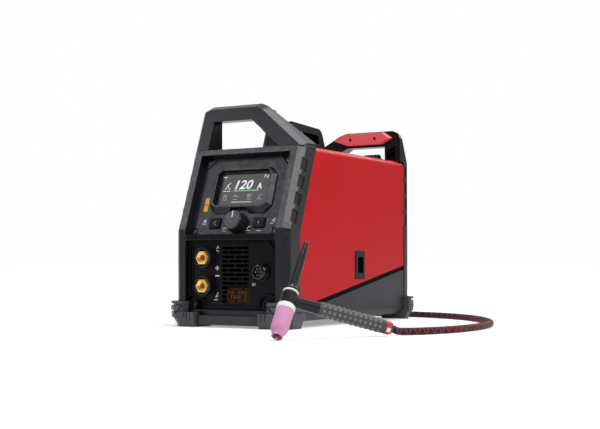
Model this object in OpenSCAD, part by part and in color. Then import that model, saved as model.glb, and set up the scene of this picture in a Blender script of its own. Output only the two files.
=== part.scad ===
// Portable inverter TIG welder with its torch lying beside it.
// Millimetres. +X is the right-hand side seen from the front, -Y is the front, +Z is up.
// The origin is on the floor under the middle of the case.

/* [Case] */
// Width over the bezels
case_w = 220; // [212:1:232]
// Depth from the front face to the rear face
case_d = 444; // [430:1:480]
// Height of the case top, where the handles stand
top_z = 295; // [288:1:310]
// Height of the kink in the front face
kink_z = 160; // [156:1:166]
// Lean of the upper front face
front_tilt = 20; // [17:1:23]
// Depth of the front bezel along the side
front_band = 40; // [36:1:46]
// Depth of the rear bezel along the side
rear_band = 24; // [22:1:30]
// Chamfer along the upright corners
corner_chamfer = 10; // [6:1:13]
// Sheet steel of the cover and the base
sheet_t = 1.5; // [1:0.1:2]
// How far the sheet sides stand in from the bezel sides
cover_inset = 1; // [0.5:0.1:2]
// Outer radius of the two top bends of the cover
cover_bend_r = 9; // [6:0.5:12]
// Outer radius of the two bottom bends of the base
base_bend_r = 14; // [8:1:20]
// Gap under the base
floor_gap = 10; // [8:0.5:13]
// Height of the cover's lower edge at the front bezel
cover_edge_z = 33; // [30:1:40]
// Rise of the cover's lower edge towards the rear
cover_edge_rise = 10; // [7:1:11]
// Dark step between the cover's lower edge and the base side
shadow_step = 8; // [5:0.5:10]
// How far the base side laps up behind the cover
base_lap = 5; // [3:0.5:6]
// How far the bezels reach under the cover
cover_tongue = 8; // [5:0.5:12]
// Thickness of the bezel lip under the cover
tongue_t = 2.5; // [2:0.1:4]
// Clearance between pieces that are only laid together
seat_gap = 0.3; // [0.2:0.05:0.5]

/* [Bezels] */
// Width of the bezel's side rail beside the panels
rail_w = 22; // [20:0.5:25]
// Wall of the hollow rails
rail_wall = 4; // [3:0.5:5]
// Width of the step that a panel is screwed against
panel_lip = 8; // [6:0.5:9]
// Depth of the connector panel behind the front face
conn_recess = 10; // [8:0.5:13]
// Depth of the control panel behind the leaning face
ctrl_recess = 14; // [12:0.5:17]
// Thickness of the moulded panels
panel_t = 3; // [2.5:0.1:4]
// Bottom of the connector pocket
conn_z0 = 28; // [27:0.5:30]
// Top of the connector pocket
conn_z1 = 142; // [141:0.5:145]
// Start of the control pocket along the leaning face
ctrl_s0 = -8; // [-9:0.5:-7]
// End of the control pocket along the leaning face
ctrl_s1 = 134; // [133:0.5:136]
// Underside of the front and rear bezels
beam_z = 4; // [3:0.5:6]
// Top of the bottom beam between the feet
beam_top_z = 19; // [17:0.5:22]
// How far the bottom beam stands out
beam_out = 4; // [2:0.5:6]
// Depth of the groove above the bottom beam
beam_groove = 6; // [3:0.5:8]
// Number of grip notches on each leaning side rail
notch_count = 4; // [2:1:5]
// Depth of a grip notch
notch_depth = 2.4; // [0.8:0.1:2.6]

/* [Feet] */
// Height of the corner feet
foot_h = 42; // [40:1:46]
// Height of the feet's low inner part
foot_step_h = 24; // [22:0.5:26]
// How far the feet stand out at the front and rear
foot_out_y = 16; // [10:1:20]
// How far the feet stand out at the sides
foot_out_x = 10; // [6:1:12]
// Width of a foot across the front, inside the case side
foot_in = 28; // [26:0.5:30]
// Width of a foot with its low inner part
foot_step_in = 48; // [44:1:52]
// Corner cut of a foot
foot_corner = 20; // [12:1:26]
// Draw-in of the foot's sole
foot_sole_in = 9; // [5:0.5:12]
// Depth of the grooves round a foot
foot_groove = 3; // [1:0.5:4]

/* [Handles] */
// Height of the front handle above the case
front_handle_h = 79; // [70:1:86]
// Height of the rear handle above the case
rear_handle_h = 58; // [54:1:66]
// Lean of the rear handle
rear_handle_lean = 24; // [18:1:26]
// Depth of the rear handle at its base
rear_handle_d = 40; // [36:1:44]
// Width of the straight leg
handle_leg = 32; // [26:1:36]
// Height of the top bar
handle_bar = 29; // [26:1:30]
// Where the top bar ends and the long leg starts
handle_bend_x = 10; // [0:1:18]
// Where the gap ends beside the long leg
handle_gap_x = 25; // [22:1:32]
// How far the web beside the long leg is set back
handle_web_set = 10; // [6:0.5:12]
// Edge bevel of the handles
handle_bevel = 8; // [5:0.5:9]
// Wall of the hollow legs
handle_wall = 4; // [3:0.5:5]
// Spacing of the ribs in the hollow legs
handle_rib_pitch = 12; // [9:0.5:16]
// Thickness of the red grip insert
grip_t = 8; // [6:0.5:10]
// Height of the red grip insert
grip_h = 23; // [20:0.5:24]
// Radius of the grip screws' head holes
grip_screw_r = 3.2; // [2.5:0.1:4]

/* [Control panel] */
// Sideways place of the controls' centre line
ctrl_cx = 3; // [0:0.5:5]
// Width of the screen
screen_w = 97; // [92:0.5:100]
// Height of the screen
screen_h = 57; // [52:0.5:60]
// Place of the screen's centre along the leaning face
screen_s = 75; // [74:0.5:77]
// Width of the frame above the screen
screen_frame = 9; // [8:0.5:11]
// Width of the frame beside the screen
screen_frame_side = 12; // [10:0.5:14]
// Width of the frame below the screen
screen_frame_low = 14.5; // [12:0.5:15]
// Height of the frame above the panel
screen_frame_h = 9; // [6:0.5:10]
// Corner cut of the frame
screen_frame_cut = 13; // [9:0.5:16]
// Radius of the dial
dial_r = 18; // [15:0.5:19]
// Height of the dial
dial_h = 18; // [14:0.5:22]
// Number of flutes round the dial
dial_flutes = 12; // [8:1:18]
// Place of the dial along the leaning face
dial_s = 15; // [14:0.5:16]
// Push travel of the dial
dial_travel = 0.6; // [0.4:0.1:0.9]
// Radius of the encoder shaft
shaft_r = 3; // [2.5:0.1:3.5]
// Running clearance of the shaft
shaft_clear = 0.05; // [0.03:0.01:0.08]
// Width of a push button
button_w = 22; // [18:0.5:24]
// Height of a push button
button_h = 18; // [14:0.5:19]
// Sideways place of the buttons from the centre line
button_x = 43; // [41:0.5:46]
// How far a button stands out of the panel
button_out = 3; // [2:0.1:4]
// Travel of a button
button_travel = 1.2; // [0.8:0.1:1.5]
// Clearance round a button
button_clear = 0.4; // [0.3:0.05:0.6]
// Depth of the control board behind the panel
board_gap = 14; // [13:0.5:16]
// Thickness of the circuit boards
board_t = 1.6; // [1.2:0.1:2]

/* [Connector panel] */
// Distance of the weld sockets from the pocket's side
socket_in = 35; // [32:0.5:37]
// Height of the upper weld socket
socket_z_upper = 113; // [112:0.5:115]
// Height of the lower weld socket
socket_z_lower = 67; // [65:0.5:69]
// Radius of a socket's collar
socket_r = 16.5; // [16:0.5:18]
// Across-flats size of the brass socket
socket_hex = 21; // [20:0.5:22]
// Bore radius of the brass socket
socket_bore_r = 4.6; // [4.5:0.1:5.5]
// Depth of the socket bore
socket_bore_l = 26; // [22:0.5:30]
// Sideways place of the louvre's centre
louvre_x = 5; // [3:0.5:6]
// Width of the louvre
louvre_w = 52; // [46:1:54]
// Bottom of the louvre
louvre_z = 40; // [39:0.5:41]
// Rows of slots in the louvre
louvre_rows = 13; // [8:1:13]
// Height of a louvre slot
louvre_slot = 5; // [4:0.1:5.4]
// Web between louvre slots
louvre_web = 2.2; // [1.6:0.1:2.2]
// Distance of the remote receptacle from the pocket's side
remote_in = 33; // [30:0.5:35]
// Height of the remote receptacle
remote_z = 90; // [80:1:100]
// Radius of the remote receptacle's shell
remote_r = 12.5; // [10:0.5:13.5]
// Length of the remote receptacle's shell
remote_l = 9; // [7:0.5:10]
// Distance of the lower corner bosses from the pocket's side
boss_in = 17; // [15:0.5:18]
// Height of the lower corner bosses
boss_z = 37; // [36.5:0.5:40]
// Radius of the lower corner bosses
boss_r = 8; // [6:0.5:8.5]
// Width of the raised rib round the connector panel
rib_w = 2; // [1.5:0.1:3]
// Height of the raised rib
rib_h = 4; // [2:0.5:6]

/* [Top and sides] */
// Width of the accessory caddy
caddy_w = 52; // [46:1:60]
// Length of the caddy's top edge
caddy_l = 102; // [90:1:110]
// Height of the caddy
caddy_h = 54; // [44:1:56]
// Wall of the caddy
caddy_wall = 3; // [2.5:0.1:4]
// Slant of the caddy's rear wall
caddy_slant = 24; // [15:1:28]
// Rounding of the caddy's rear top corner
caddy_round = 12; // [8:1:14]
// Gap between the front grip and the caddy
caddy_gap = 52; // [40:1:60]
// Width of the side slot inserts
slot_w = 34; // [30:1:38]
// Height of the side slot inserts
slot_h = 49; // [44:1:52]
// Distance of the slot inserts behind the middle of the case
slot_y = 22; // [10:1:30]
// Height of the slot inserts' centre
slot_z = 101; // [100:1:108]
// Width of the ribbed cable clip
clip_w = 32; // [26:1:38]
// Height of the ribbed cable clip
clip_h = 13; // [10:0.5:15]

/* [Rear] */
// Width kept free beside the fan for the fittings
fan_room = 40; // [34:1:50]
// Thickness of the fan
fan_t = 25; // [20:0.5:30]
// Distance of the fan from the case side of its opening
fan_edge = 5; // [2:0.5:7]
// Height of the fan
fan_z = 130; // [126:1:150]
// Clearance round the fan blades
fan_clear = 1.5; // [1:0.1:2]
// Number of fan blades
fan_blades = 7; // [5:1:9]
// Radius of the fan shaft
fan_shaft_r = 2.5; // [2:0.1:3]
// Distance of the rear fittings from their side of the opening
rear_fit_in = 15; // [14:0.5:17]
// Height of the power switch
switch_z = 230; // [222:1:240]
// Swing of the power switch
switch_swing = 20; // [16:1:22]
// Height of the gas inlet
gas_z = 170; // [164:1:180]
// Outside radius of the gas inlet thread
gas_r = 7.9; // [7:0.1:9]
// Length of the gas inlet thread
gas_l = 14; // [12:0.5:18]
// Height of the cord gland
gland_z = 80; // [76:1:90]
// Bore radius of the cord gland
gland_bore_r = 6; // [5:0.1:7]
// Length of the gland outside the rear panel
gland_l = 24; // [20:0.5:28]

/* [Inside] */
// Width of a heatsink
sink_w = 82; // [70:1:84]
// Height of a heatsink
sink_h = 66; // [56:1:70]
// Length of a heatsink
sink_l = 180; // [150:1:200]
// Gap between the two heatsinks
sink_gap = 18; // [12:1:22]
// Distance of the heatsinks from the front bezel
sink_back = 122; // [110:1:130]
// Radius of the capacitors
capacitor_r = 17; // [14:0.5:18]
// Width of the transformer's core
core_w = 76; // [70:1:80]
// Depth of the transformer's core
core_d = 48; // [40:1:52]
// Height of the transformer's core
core_h = 66; // [56:1:70]
// Width of the core's middle leg
core_leg = 24; // [20:1:26]

/* [Torch] */
// Place of the torch head's centre, sideways
torch_x = 224; // [222:1:226]
// Place of the torch head's centre, front to back
torch_y = -405; // [-408:1:-402]
// Lean of the cup and cap above the floor
torch_lean = 49; // [46:1:52]
// Heading of the cap, anticlockwise from +X
torch_cap_heading = 99.5; // [97:0.5:102]
// Heading of the torch handle
torch_heading = 56; // [54:1:58]
// Length from the head's centre to the handle's end
torch_l = 168; // [164:1:171]
// Radius of the torch head
head_r = 12; // [11:0.5:12.5]
// Length of the torch head
head_l = 22; // [20:0.5:24]
// Radius of the gas cup
cup_r = 12.5; // [11.5:0.1:13]
// Length of the gas cup
cup_l = 44; // [40:0.5:44]
// Radius of the gas cup's mouth outside
cup_nose_r = 8.2; // [7.5:0.1:9]
// Length of the heat shield
shield_l = 8; // [6:0.5:9]
// Stick-out of the tungsten
tungsten_out = 6; // [5:0.5:6]
// Radius of the tungsten
tungsten_r = 1.2; // [0.8:0.1:1.6]
// Length of the back cap above its seal
cap_l = 93; // [80:1:96]
// Travel of the back cap on its thread
cap_travel = 8; // [5:0.5:8]
// Radius of the handle's grip
grip_r = 9.8; // [9:0.1:10]

/* [Torch cable] */
// Radius of the torch cable
cable_r = 5.5; // [5:0.1:6]
// Clear space between the coil's turns
coil_space = 0.9; // [0.8:0.1:1.4]
// Inner radius of the coil at the cable's middle
coil_inner_r = 44; // [44:1:50]
// Turns in each of the coil's two layers
coil_turns = 3.5; // [2.5:1:4.5]
// Length of the plug's sleeve
plug_l = 46; // [40:1:50]
// Radius of the plug's pin
plug_pin_r = 4.5; // [4.4:0.1:5]
// Length of the plug's pin
plug_pin_l = 24; // [20:0.5:26]

/* [Hidden] */
$fn = 48;
eps = 0.01;
half_w = case_w / 2;
front_y = -case_d / 2;
rear_y = case_d / 2;
cover_hw = half_w - cover_inset;
cover_in = cover_hw - sheet_t;
pocket_hw = half_w - rail_w;
throat_hw = pocket_hw - panel_lip;
socket_x = socket_in - pocket_hw;
remote_x = pocket_hw - remote_in;
boss_x = pocket_hw - boss_in;
fan_size = 2 * throat_hw - fan_room;
fan_x = fan_edge + fan_size / 2 - throat_hw;
rear_fit_x = throat_hw - rear_fit_in;
band_y = front_y + front_band;
rear_band_y = rear_y - rear_band;
ctrl_back = ctrl_recess + panel_t;
conn_face_y = front_y + conn_recess;
conn_back_y = conn_face_y + panel_t;
rear_face_y = rear_y - conn_recess;
rear_in_y = rear_face_y - panel_t;
board_d = ctrl_back + board_gap;
floor_top = floor_gap + sheet_t;

// The leaning front face's depth at a height
function lean_y(z) = front_y + (z - kink_z) * tan(front_tilt);
// The cover's lower edge at a depth
function edge_z(y) = cover_edge_z + (y - band_y) * tan(cover_edge_rise);
function unit(v) = v / norm(v);
function heading(elevation, azimuth) =
  [cos(elevation) * cos(azimuth), cos(elevation) * sin(azimuth), sin(elevation)];

handle_back_y = lean_y(top_z) + front_band / cos(front_tilt);
rear_handle_y = rear_y - rear_handle_d;

// Draws a side-view outline (depth, height) across the width
module across(w) {
  translate([-w / 2, 0, 0])
    rotate([90, 0, 90])
      linear_extrude(w)
        children();
}

// Draws a front-view outline (side, height) from one depth to another
module along(y0, y1) {
  translate([0, y1, 0])
    rotate([90, 0, 0])
      linear_extrude(y1 - y0)
        children();
}

// Places children on the leaning face: x sideways, d inwards, s up the face
module at_panel(x = 0, d = 0, s = 0) {
  translate([0, front_y, kink_z])
    rotate([-front_tilt, 0, 0])
      translate([x, d, s])
        children();
}

// A box between two corners
module block(low, high) {
  translate(low)
    cube(high - low);
}

// A rod along Y from one depth to another
module rod_y(x, z, y0, y1, r, fn = 48) {
  translate([x, y1, z])
    rotate([90, 0, 0])
      cylinder(h = y1 - y0, r = r, $fn = fn);
}

// A rectangle with round corners
module round_rect(w, h, r) {
  square([w - 2 * r, h], center = true);
  square([w, h - 2 * r], center = true);
  for (sx = [-1, 1], sy = [-1, 1])
    translate([sx * (w / 2 - r), sy * (h / 2 - r)])
      circle(r);
}

// A rectangle with cut corners
module cut_rect(w, h, c) {
  polygon([
    [-w / 2 + c, -h / 2], [w / 2 - c, -h / 2], [w / 2, -h / 2 + c], [w / 2, h / 2 - c],
    [w / 2 - c, h / 2], [-w / 2 + c, h / 2], [-w / 2, h / 2 - c], [-w / 2, -h / 2 + c]
  ]);
}

// An upright outline with two round top corners
module arch(hw, top, r) {
  translate([-hw, 0])
    square([2 * hw, top - r]);
  translate([-hw + r, 0])
    square([2 * (hw - r), top]);
  for (sx = [-1, 1])
    translate([sx * (hw - r), top - r])
      circle(r);
}

// Wedge that slopes a face's edge from p to q: outside is left of the edge
module slope_cut(p, q, run, rise) {
  spare = 6;
  translate([p[0], 0, p[1]])
    rotate([0, -atan2(q[1] - p[1], q[0] - p[0]), 0])
      translate([-spare, 0, 0])
        rotate([90, 0, 90])
          linear_extrude(norm(q - p) + 2 * spare)
            polygon([[-rise, -2 * run], [-rise, run], [2 * rise, run]]);
}

// Tube of triangles along a path, with the rings turned about a reference direction
module tube(path, r, sides, ref = [0, 0, 1]) {
  n = len(path);
  dirs = [for (i = [0:n - 1]) unit(path[min(i + 1, n - 1)] - path[max(i - 1, 0)])];
  points = [
    for (i = [0:n - 1])
      let (side = unit(cross(dirs[i], ref)), up = cross(side, dirs[i]))
        for (k = [0:sides - 1])
          path[i] + r * (cos(360 * k / sides) * side + sin(360 * k / sides) * up)
  ];
  walls = [
    for (i = [0:n - 2], k = [0:sides - 1])
      let (a = i * sides + k, b = i * sides + (k + 1) % sides)
        each [[a, b, b + sides], [a, b + sides, a + sides]]
  ];
  first = [for (k = [1:sides - 2]) [0, k + 1, k]];
  last = [for (k = [1:sides - 2]) (n - 1) * sides * [1, 1, 1] + [0, k, k + 1]];
  polyhedron(points, concat(first, walls, last));
}

// Smooth curve through hand-chosen points
function curve_point(a, b, c, d, t) =
  0.5 * (2 * b + (c - a) * t + (2 * a - 5 * b + 4 * c - d) * t * t + (3 * b - a - 3 * c + d) * t * t * t);
function smooth(p, steps) = [
  for (i = [0:len(p) - 2], j = [0:steps - 1])
    curve_point(p[max(i - 1, 0)], p[i], p[i + 1], p[min(i + 2, len(p) - 1)], j / steps),
  p[len(p) - 1]
];

// Waste outside a chamfered upright corner
module corner_waste() {
  spare = 6;
  far = corner_chamfer + spare;
  polygon([[-spare, -spare], [far, -spare], [far, far]]);
}

// Outline of the front bezel seen from the side
module front_profile() {
  polygon([
    [front_y, beam_z],
    [front_y, kink_z],
    [lean_y(top_z), top_z],
    [handle_back_y, top_z],
    [band_y, kink_z - front_band * tan(front_tilt / 2)],
    [band_y, beam_z]
  ]);
}

// Lip of a bezel that the cover slips over, rooted inside the bezel
tongue_root = 1;
module tongue(outline_y0, outline_y1) {
  along(outline_y0, outline_y1)
    difference() {
      arch(cover_in, top_z - sheet_t, cover_bend_r - sheet_t);
      arch(cover_in - tongue_t, top_z - sheet_t - tongue_t, cover_bend_r - sheet_t - tongue_t);
    }
}

// Stepped pocket for a foot at each lower corner of a bezel or a panel
module foot_room(y0, y1, spare = 0) {
  for (sx = [0, 1])
    mirror([sx, 0, 0]) {
      block([half_w - foot_in - spare, y0, -1], [half_w + 1, y1, foot_h + spare]);
      block([half_w - foot_step_in - spare, y0, -1], [half_w + 1, y1, foot_step_h + spare]);
    }
}

// Throat behind a panel, lower in the middle than over the feet
module throat(y0, y1, z1) {
  block([-throat_hw, y0, foot_h + rail_wall], [throat_hw, y1, z1]);
  block([-half_w + foot_step_in + rail_wall, y0, conn_z0 + rail_wall],
        [half_w - foot_step_in - rail_wall, y1, z1]);
}

module front_bezel() {
  lip_z = max(kink_z - 100, edge_z(band_y) + base_lap + 12);
  color("#2c2d31") {
    difference() {
      across(case_w) front_profile();
      // Chamfers along both upright corners, below and above the kink
      for (sx = [0, 1])
        mirror([sx, 0, 0]) {
          translate([half_w - corner_chamfer, front_y, 0])
            linear_extrude(kink_z + 40) corner_waste();
          at_panel(half_w - corner_chamfer, 0, -20)
            linear_extrude(top_z) corner_waste();
          // Grip notches down the leaning rail
          for (i = [0:notch_count - 1])
            at_panel(half_w - notch_depth, corner_chamfer / 2, 14 + i * 30)
              cube([notch_depth + 1, front_band / 2, 22]);
          // The rails are hollow from behind
          block([pocket_hw + rail_wall, front_y + corner_chamfer + rail_wall, foot_h + 8],
                [half_w - rail_wall, band_y + 1, conn_z1]);
          at_panel(pocket_hw + rail_wall, corner_chamfer + rail_wall, 8)
            cube([rail_w - 2 * rail_wall, front_band, 110]);
        }
      // Connector pocket, with a step for the panel
      block([-pocket_hw, front_y - 1, conn_z0], [pocket_hw, conn_back_y, conn_z1]);
      throat(front_y, band_y + 1, conn_z1 - panel_lip);
      // Control pocket, with a step for the panel
      at_panel(-pocket_hw, -1, ctrl_s0)
        cube([2 * pocket_hw, ctrl_back + 1, ctrl_s1 - ctrl_s0]);
      at_panel(-throat_hw, 0, ctrl_s0 + panel_lip)
        cube([2 * throat_hw, front_band + 20, ctrl_s1 - ctrl_s0 - 2 * panel_lip]);
      // Groove above the bottom beam
      block([-half_w + foot_step_in, front_y - 1, beam_top_z],
            [half_w - foot_step_in, front_y + beam_groove, conn_z0 - 2]);
      foot_room(front_y - 1, band_y + 1);
    }
    // Bottom beam
    block([-half_w + foot_step_in, front_y - beam_out, beam_z],
          [half_w - foot_step_in, front_y + eps, beam_top_z]);
    // Lip under the cover
    intersection() {
      tongue(front_y, handle_back_y + cover_tongue);
      across(case_w)
        polygon([
          [band_y - tongue_root, lip_z],
          [band_y - tongue_root, kink_z - front_band * tan(front_tilt / 2)],
          [handle_back_y - tongue_root, top_z],
          [handle_back_y + cover_tongue, top_z],
          [band_y + cover_tongue, kink_z - front_band * tan(front_tilt / 2)],
          [band_y + cover_tongue, lip_z]
        ]);
    }
  }
}

module rear_bezel() {
  color("#2c2d31") {
    difference() {
      block([-half_w, rear_band_y, beam_z], [half_w, rear_y, top_z]);
      for (sx = [0, 1])
        mirror([sx, 0, 0]) {
          translate([half_w - corner_chamfer, rear_y, 0])
            linear_extrude(top_z + 1) mirror([0, 1]) corner_waste();
          for (i = [0:notch_count - 1])
            block([half_w - notch_depth / 2, rear_band_y - 1, kink_z + 14 + i * 30],
                  [half_w + 1, rear_y - corner_chamfer - 4, kink_z + 36 + i * 30]);
        }
      block([-pocket_hw, rear_in_y, conn_z0], [pocket_hw, rear_y + 1, top_z - 14]);
      throat(rear_band_y - 1, rear_y, top_z - 14 - panel_lip);
      foot_room(rear_band_y - 1, rear_y + 1);
    }
    block([-half_w + foot_step_in, rear_y - eps, beam_z],
          [half_w - foot_step_in, rear_y + beam_out, beam_top_z]);
    intersection() {
      tongue(rear_band_y - cover_tongue, rear_band_y + tongue_root);
      block([-half_w, rear_band_y - cover_tongue, edge_z(rear_band_y) + base_lap + 12],
            [half_w, rear_y, top_z]);
    }
  }
}

// Sheet steel wrap: both sides and the top in one bent sheet
module case_cover() {
  color("#c01824")
    difference() {
      intersection() {
        along(front_y, rear_y)
          difference() {
            arch(cover_hw, top_z, cover_bend_r);
            arch(cover_in, top_z - sheet_t, cover_bend_r - sheet_t);
          }
        across(case_w)
          polygon([
            [band_y + seat_gap, edge_z(band_y)],
            [band_y + seat_gap, kink_z - front_band * tan(front_tilt / 2)],
            [handle_back_y + seat_gap + tan(front_tilt), top_z + 1],
            [rear_band_y - seat_gap, top_z + 1],
            [rear_band_y - seat_gap, edge_z(rear_band_y)]
          ]);
      }
      for (sx = [-1, 1])
        translate([sx * cover_hw, slot_y, slot_z])
          cube([20, slot_w - 4, slot_h - 4], center = true);
    }
}

// An arch upside down, with its round corners at height z0
module trough(hw, z0, r) {
  translate([0, top_z])
    mirror([0, 1])
      arch(hw, top_z - z0, r);
}

// Side and floor of the base in one bent sheet, lapped behind the cover
module base_pan() {
  color("#3a3b40") {
    intersection() {
      along(band_y, rear_band_y)
        difference() {
          trough(cover_hw, floor_gap, base_bend_r);
          trough(cover_in, floor_top, base_bend_r - sheet_t);
        }
      across(case_w)
        polygon([
          [band_y, 0],
          [band_y, edge_z(band_y) - shadow_step],
          [rear_band_y, edge_z(rear_band_y) - shadow_step],
          [rear_band_y, 0]
        ]);
    }
    // Inner flange, joined to the side up to the step
    for (sx = [0, 1], part = [[base_lap, 0], [-shadow_step, eps]])
      mirror([sx, 0, 0])
        translate([cover_in - sheet_t, 0, 0])
          rotate([90, 0, 90])
            linear_extrude(sheet_t + part[1])
              polygon([
                [band_y, floor_gap + base_bend_r],
                [band_y, edge_z(band_y) + part[0]],
                [rear_band_y, edge_z(rear_band_y) + part[0]],
                [rear_band_y, floor_gap + base_bend_r]
              ]);
  }
}

// Plan of a corner foot, w wide inside the case side, drawn in by k
module foot_plan(w, k, depth) {
  x0 = half_w - w + seat_gap;
  x1 = half_w + foot_out_x - k;
  y1 = -foot_out_y + k;
  polygon([
    [x0, depth], [x0, y1], [x1 - foot_corner, y1], [x1, y1 + foot_corner], [x1, depth]
  ]);
}

// Corner foot: ribbed bumper with a drawn-in sole
module foot(depth) {
  sole = 3;
  skirt = 15;
  // Bottom, top and draw-in of each rib
  ribs = [[skirt, 25, 0.6], [27, 35, 0], [foot_h - 4.5, foot_h, 0]];
  difference() {
    union() {
      hull() {
        linear_extrude(sole) foot_plan(foot_step_in, foot_sole_in, depth);
        translate([0, 0, skirt - 1]) linear_extrude(1) foot_plan(foot_step_in, foot_groove, depth);
      }
      linear_extrude(foot_step_h) foot_plan(foot_step_in, foot_groove + foot_sole_in / 2, depth);
      translate([0, 0, skirt - 1])
        linear_extrude(foot_step_h - skirt + 1)
          foot_plan(foot_step_in, foot_groove, depth);
      translate([0, 0, skirt - 1])
        linear_extrude(foot_h - skirt + 1)
          foot_plan(foot_in, foot_groove, depth);
      for (rib = ribs)
        translate([0, 0, rib[0]])
          linear_extrude(rib[1] - rib[0])
            foot_plan(foot_in, rib[2], depth);
    }
    // Slanted groove across the front of the foot
    translate([half_w - foot_in / 2 + 2, -foot_out_y + 1, skirt + 6])
      rotate([0, 42, 0])
        cube([56, 2 * foot_groove, foot_groove], center = true);
    // Upright grooves on the low inner part
    for (i = [0, 1])
      translate([half_w - foot_step_in + 6 + 7 * i, -foot_out_y, -1])
        cube([2, foot_groove + 2, foot_step_h + 2]);
  }
}

module foot_front_right() {
  color("#303136") translate([0, front_y, 0]) foot(front_band);
}
module foot_front_left() {
  mirror([1, 0, 0]) foot_front_right();
}
module foot_rear_right() {
  color("#303136") mirror([0, 1, 0]) translate([0, -rear_y, 0]) foot(rear_band);
}
module foot_rear_left() {
  mirror([1, 0, 0]) foot_rear_right();
}

// Lopsided carry handle: y = 0 is its upright inner face
module handle(h, base_d, lean) {
  toe = 4;
  corner = 15;
  bend = 5;
  top_d = base_d - h * tan(lean);
  gap_top = h - handle_bar;
  gap_side = gap_top * 0.6;
  leg_x = -half_w + handle_leg;
  slant_run = (half_w - handle_bend_x) / (h - toe);
  face = [
    [-half_w, 0], [-half_w, h - corner], [-half_w + 0.3 * corner, h - 0.3 * corner],
    [-half_w + corner, h], [handle_bend_x - bend, h],
    [handle_bend_x + bend * slant_run, h - bend], [half_w, toe], [half_w, 0]
  ];
  difference() {
    intersection() {
      along(-base_d, 0) polygon(face);
      across(case_w) polygon([[0, 0], [0, h], [-top_d, h], [-base_d, 0]]);
    }
    // The gap for the hand
    along(-base_d - 1, 1)
      polygon([
        [leg_x, -1], [leg_x, gap_top], [handle_gap_x - (gap_top - gap_side) * slant_run, gap_top],
        [handle_gap_x, gap_side], [handle_gap_x, -1]
      ]);
    translate([0, -base_d, 0])
      rotate([-lean, 0, 0]) {
        // Recessed web beside the long leg
        along(-1, handle_web_set)
          polygon([
            [handle_gap_x - 1, gap_side / cos(lean)],
            [handle_gap_x - 1 + (gap_side + 4) * slant_run, -4], [handle_gap_x - 1, -4]
          ]);
        // Bevels round the leaning face
        for (i = [0:5]) {
          bevel = i == 0 ? corner_chamfer : handle_bevel - i % 2;
          slope_cut([face[i][0], face[i][1] / cos(lean)],
                    [face[i + 1][0], face[i + 1][1] / cos(lean)], bevel, bevel);
        }
      }
    // Hollow legs, ribbed inside
    difference() {
      intersection() {
        across(case_w)
          polygon([
            [1, 2], [1, h], [-max(top_d - handle_wall, 1), h], [-base_d + 2 * handle_wall, 2]
          ]);
        along(-base_d, 1) {
          polygon([
            [-half_w + corner_chamfer, handle_wall], [-half_w + corner_chamfer, gap_top],
            [leg_x - handle_wall, gap_top - 8], [leg_x - handle_wall, handle_wall]
          ]);
          polygon([
            [handle_gap_x + handle_wall, handle_wall],
            [handle_gap_x + handle_wall, gap_side + handle_wall],
            [half_w - (gap_side + handle_wall) * slant_run - 14, gap_side + handle_wall + 4],
            [half_w - 26, handle_wall]
          ]);
        }
      }
      for (i = [0:7], sx = [-1, 1])
        translate([sx * half_w * 0.75, 0, i * handle_rib_pitch - 22])
          rotate([0, sx * -24, 0])
            cube([80, 3 * base_d, 1.8], center = true);
    }
  }
}

module front_handle() {
  color("#2c2d31")
    translate([0, handle_back_y, top_z])
      handle(front_handle_h, front_band / cos(front_tilt), front_tilt);
}

module rear_handle() {
  color("#2c2d31")
    translate([0, rear_handle_y, top_z])
      rotate([0, 0, 180])
        handle(rear_handle_h, rear_handle_d, rear_handle_lean);
}

// Six-sided grip insert on a handle's inner face, with two screw holes
function grip_z(h) = h - grip_h / 2 - 2;
grip_screw_x = [-60, -8];
module grip(h) {
  z = grip_z(h);
  up = grip_h / 2;
  outline = [
    [-half_w + 15, 0], [-half_w + 31, up], [handle_bend_x - 8, up],
    [handle_bend_x + 20, 0], [handle_bend_x - 12, -up], [-half_w + 37, -up]
  ];
  difference() {
    translate([0, 0, z])
      hull() {
        along(0, grip_t - 3) polygon(outline);
        along(grip_t - 1, grip_t) scale(0.94) polygon(outline);
      }
    for (x = grip_screw_x)
      rod_y(x, z, 3, grip_t + 1, grip_screw_r);
  }
}

module front_handle_grip() {
  color("#c81e28") translate([0, handle_back_y, top_z]) grip(front_handle_h);
}

module rear_handle_grip() {
  color("#c81e28")
    translate([0, rear_handle_y, top_z])
      rotate([0, 0, 180])
        grip(rear_handle_h);
}

// Control panel, leaning with the upper front face
ctrl_mid = (ctrl_s0 + ctrl_s1) / 2;
ctrl_screw_x = pocket_hw - 9;
ctrl_screw_s = [ctrl_s0 + 9, ctrl_s1 - 9];
corner_sink = 1.8;
lower_corner = 15;

// Sunk upper corners of the panel
module upper_corners(grow) {
  for (sx = [-1, 1])
    polygon([
      [sx * (pocket_hw - seat_gap), -seat_gap], [sx * (pocket_hw - 25 - 1.4 * grow), -seat_gap],
      [sx * (pocket_hw - 10 - 0.5 * grow), -16 - grow], [sx * (pocket_hw - seat_gap), -16 - grow]
    ]);
}

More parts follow.
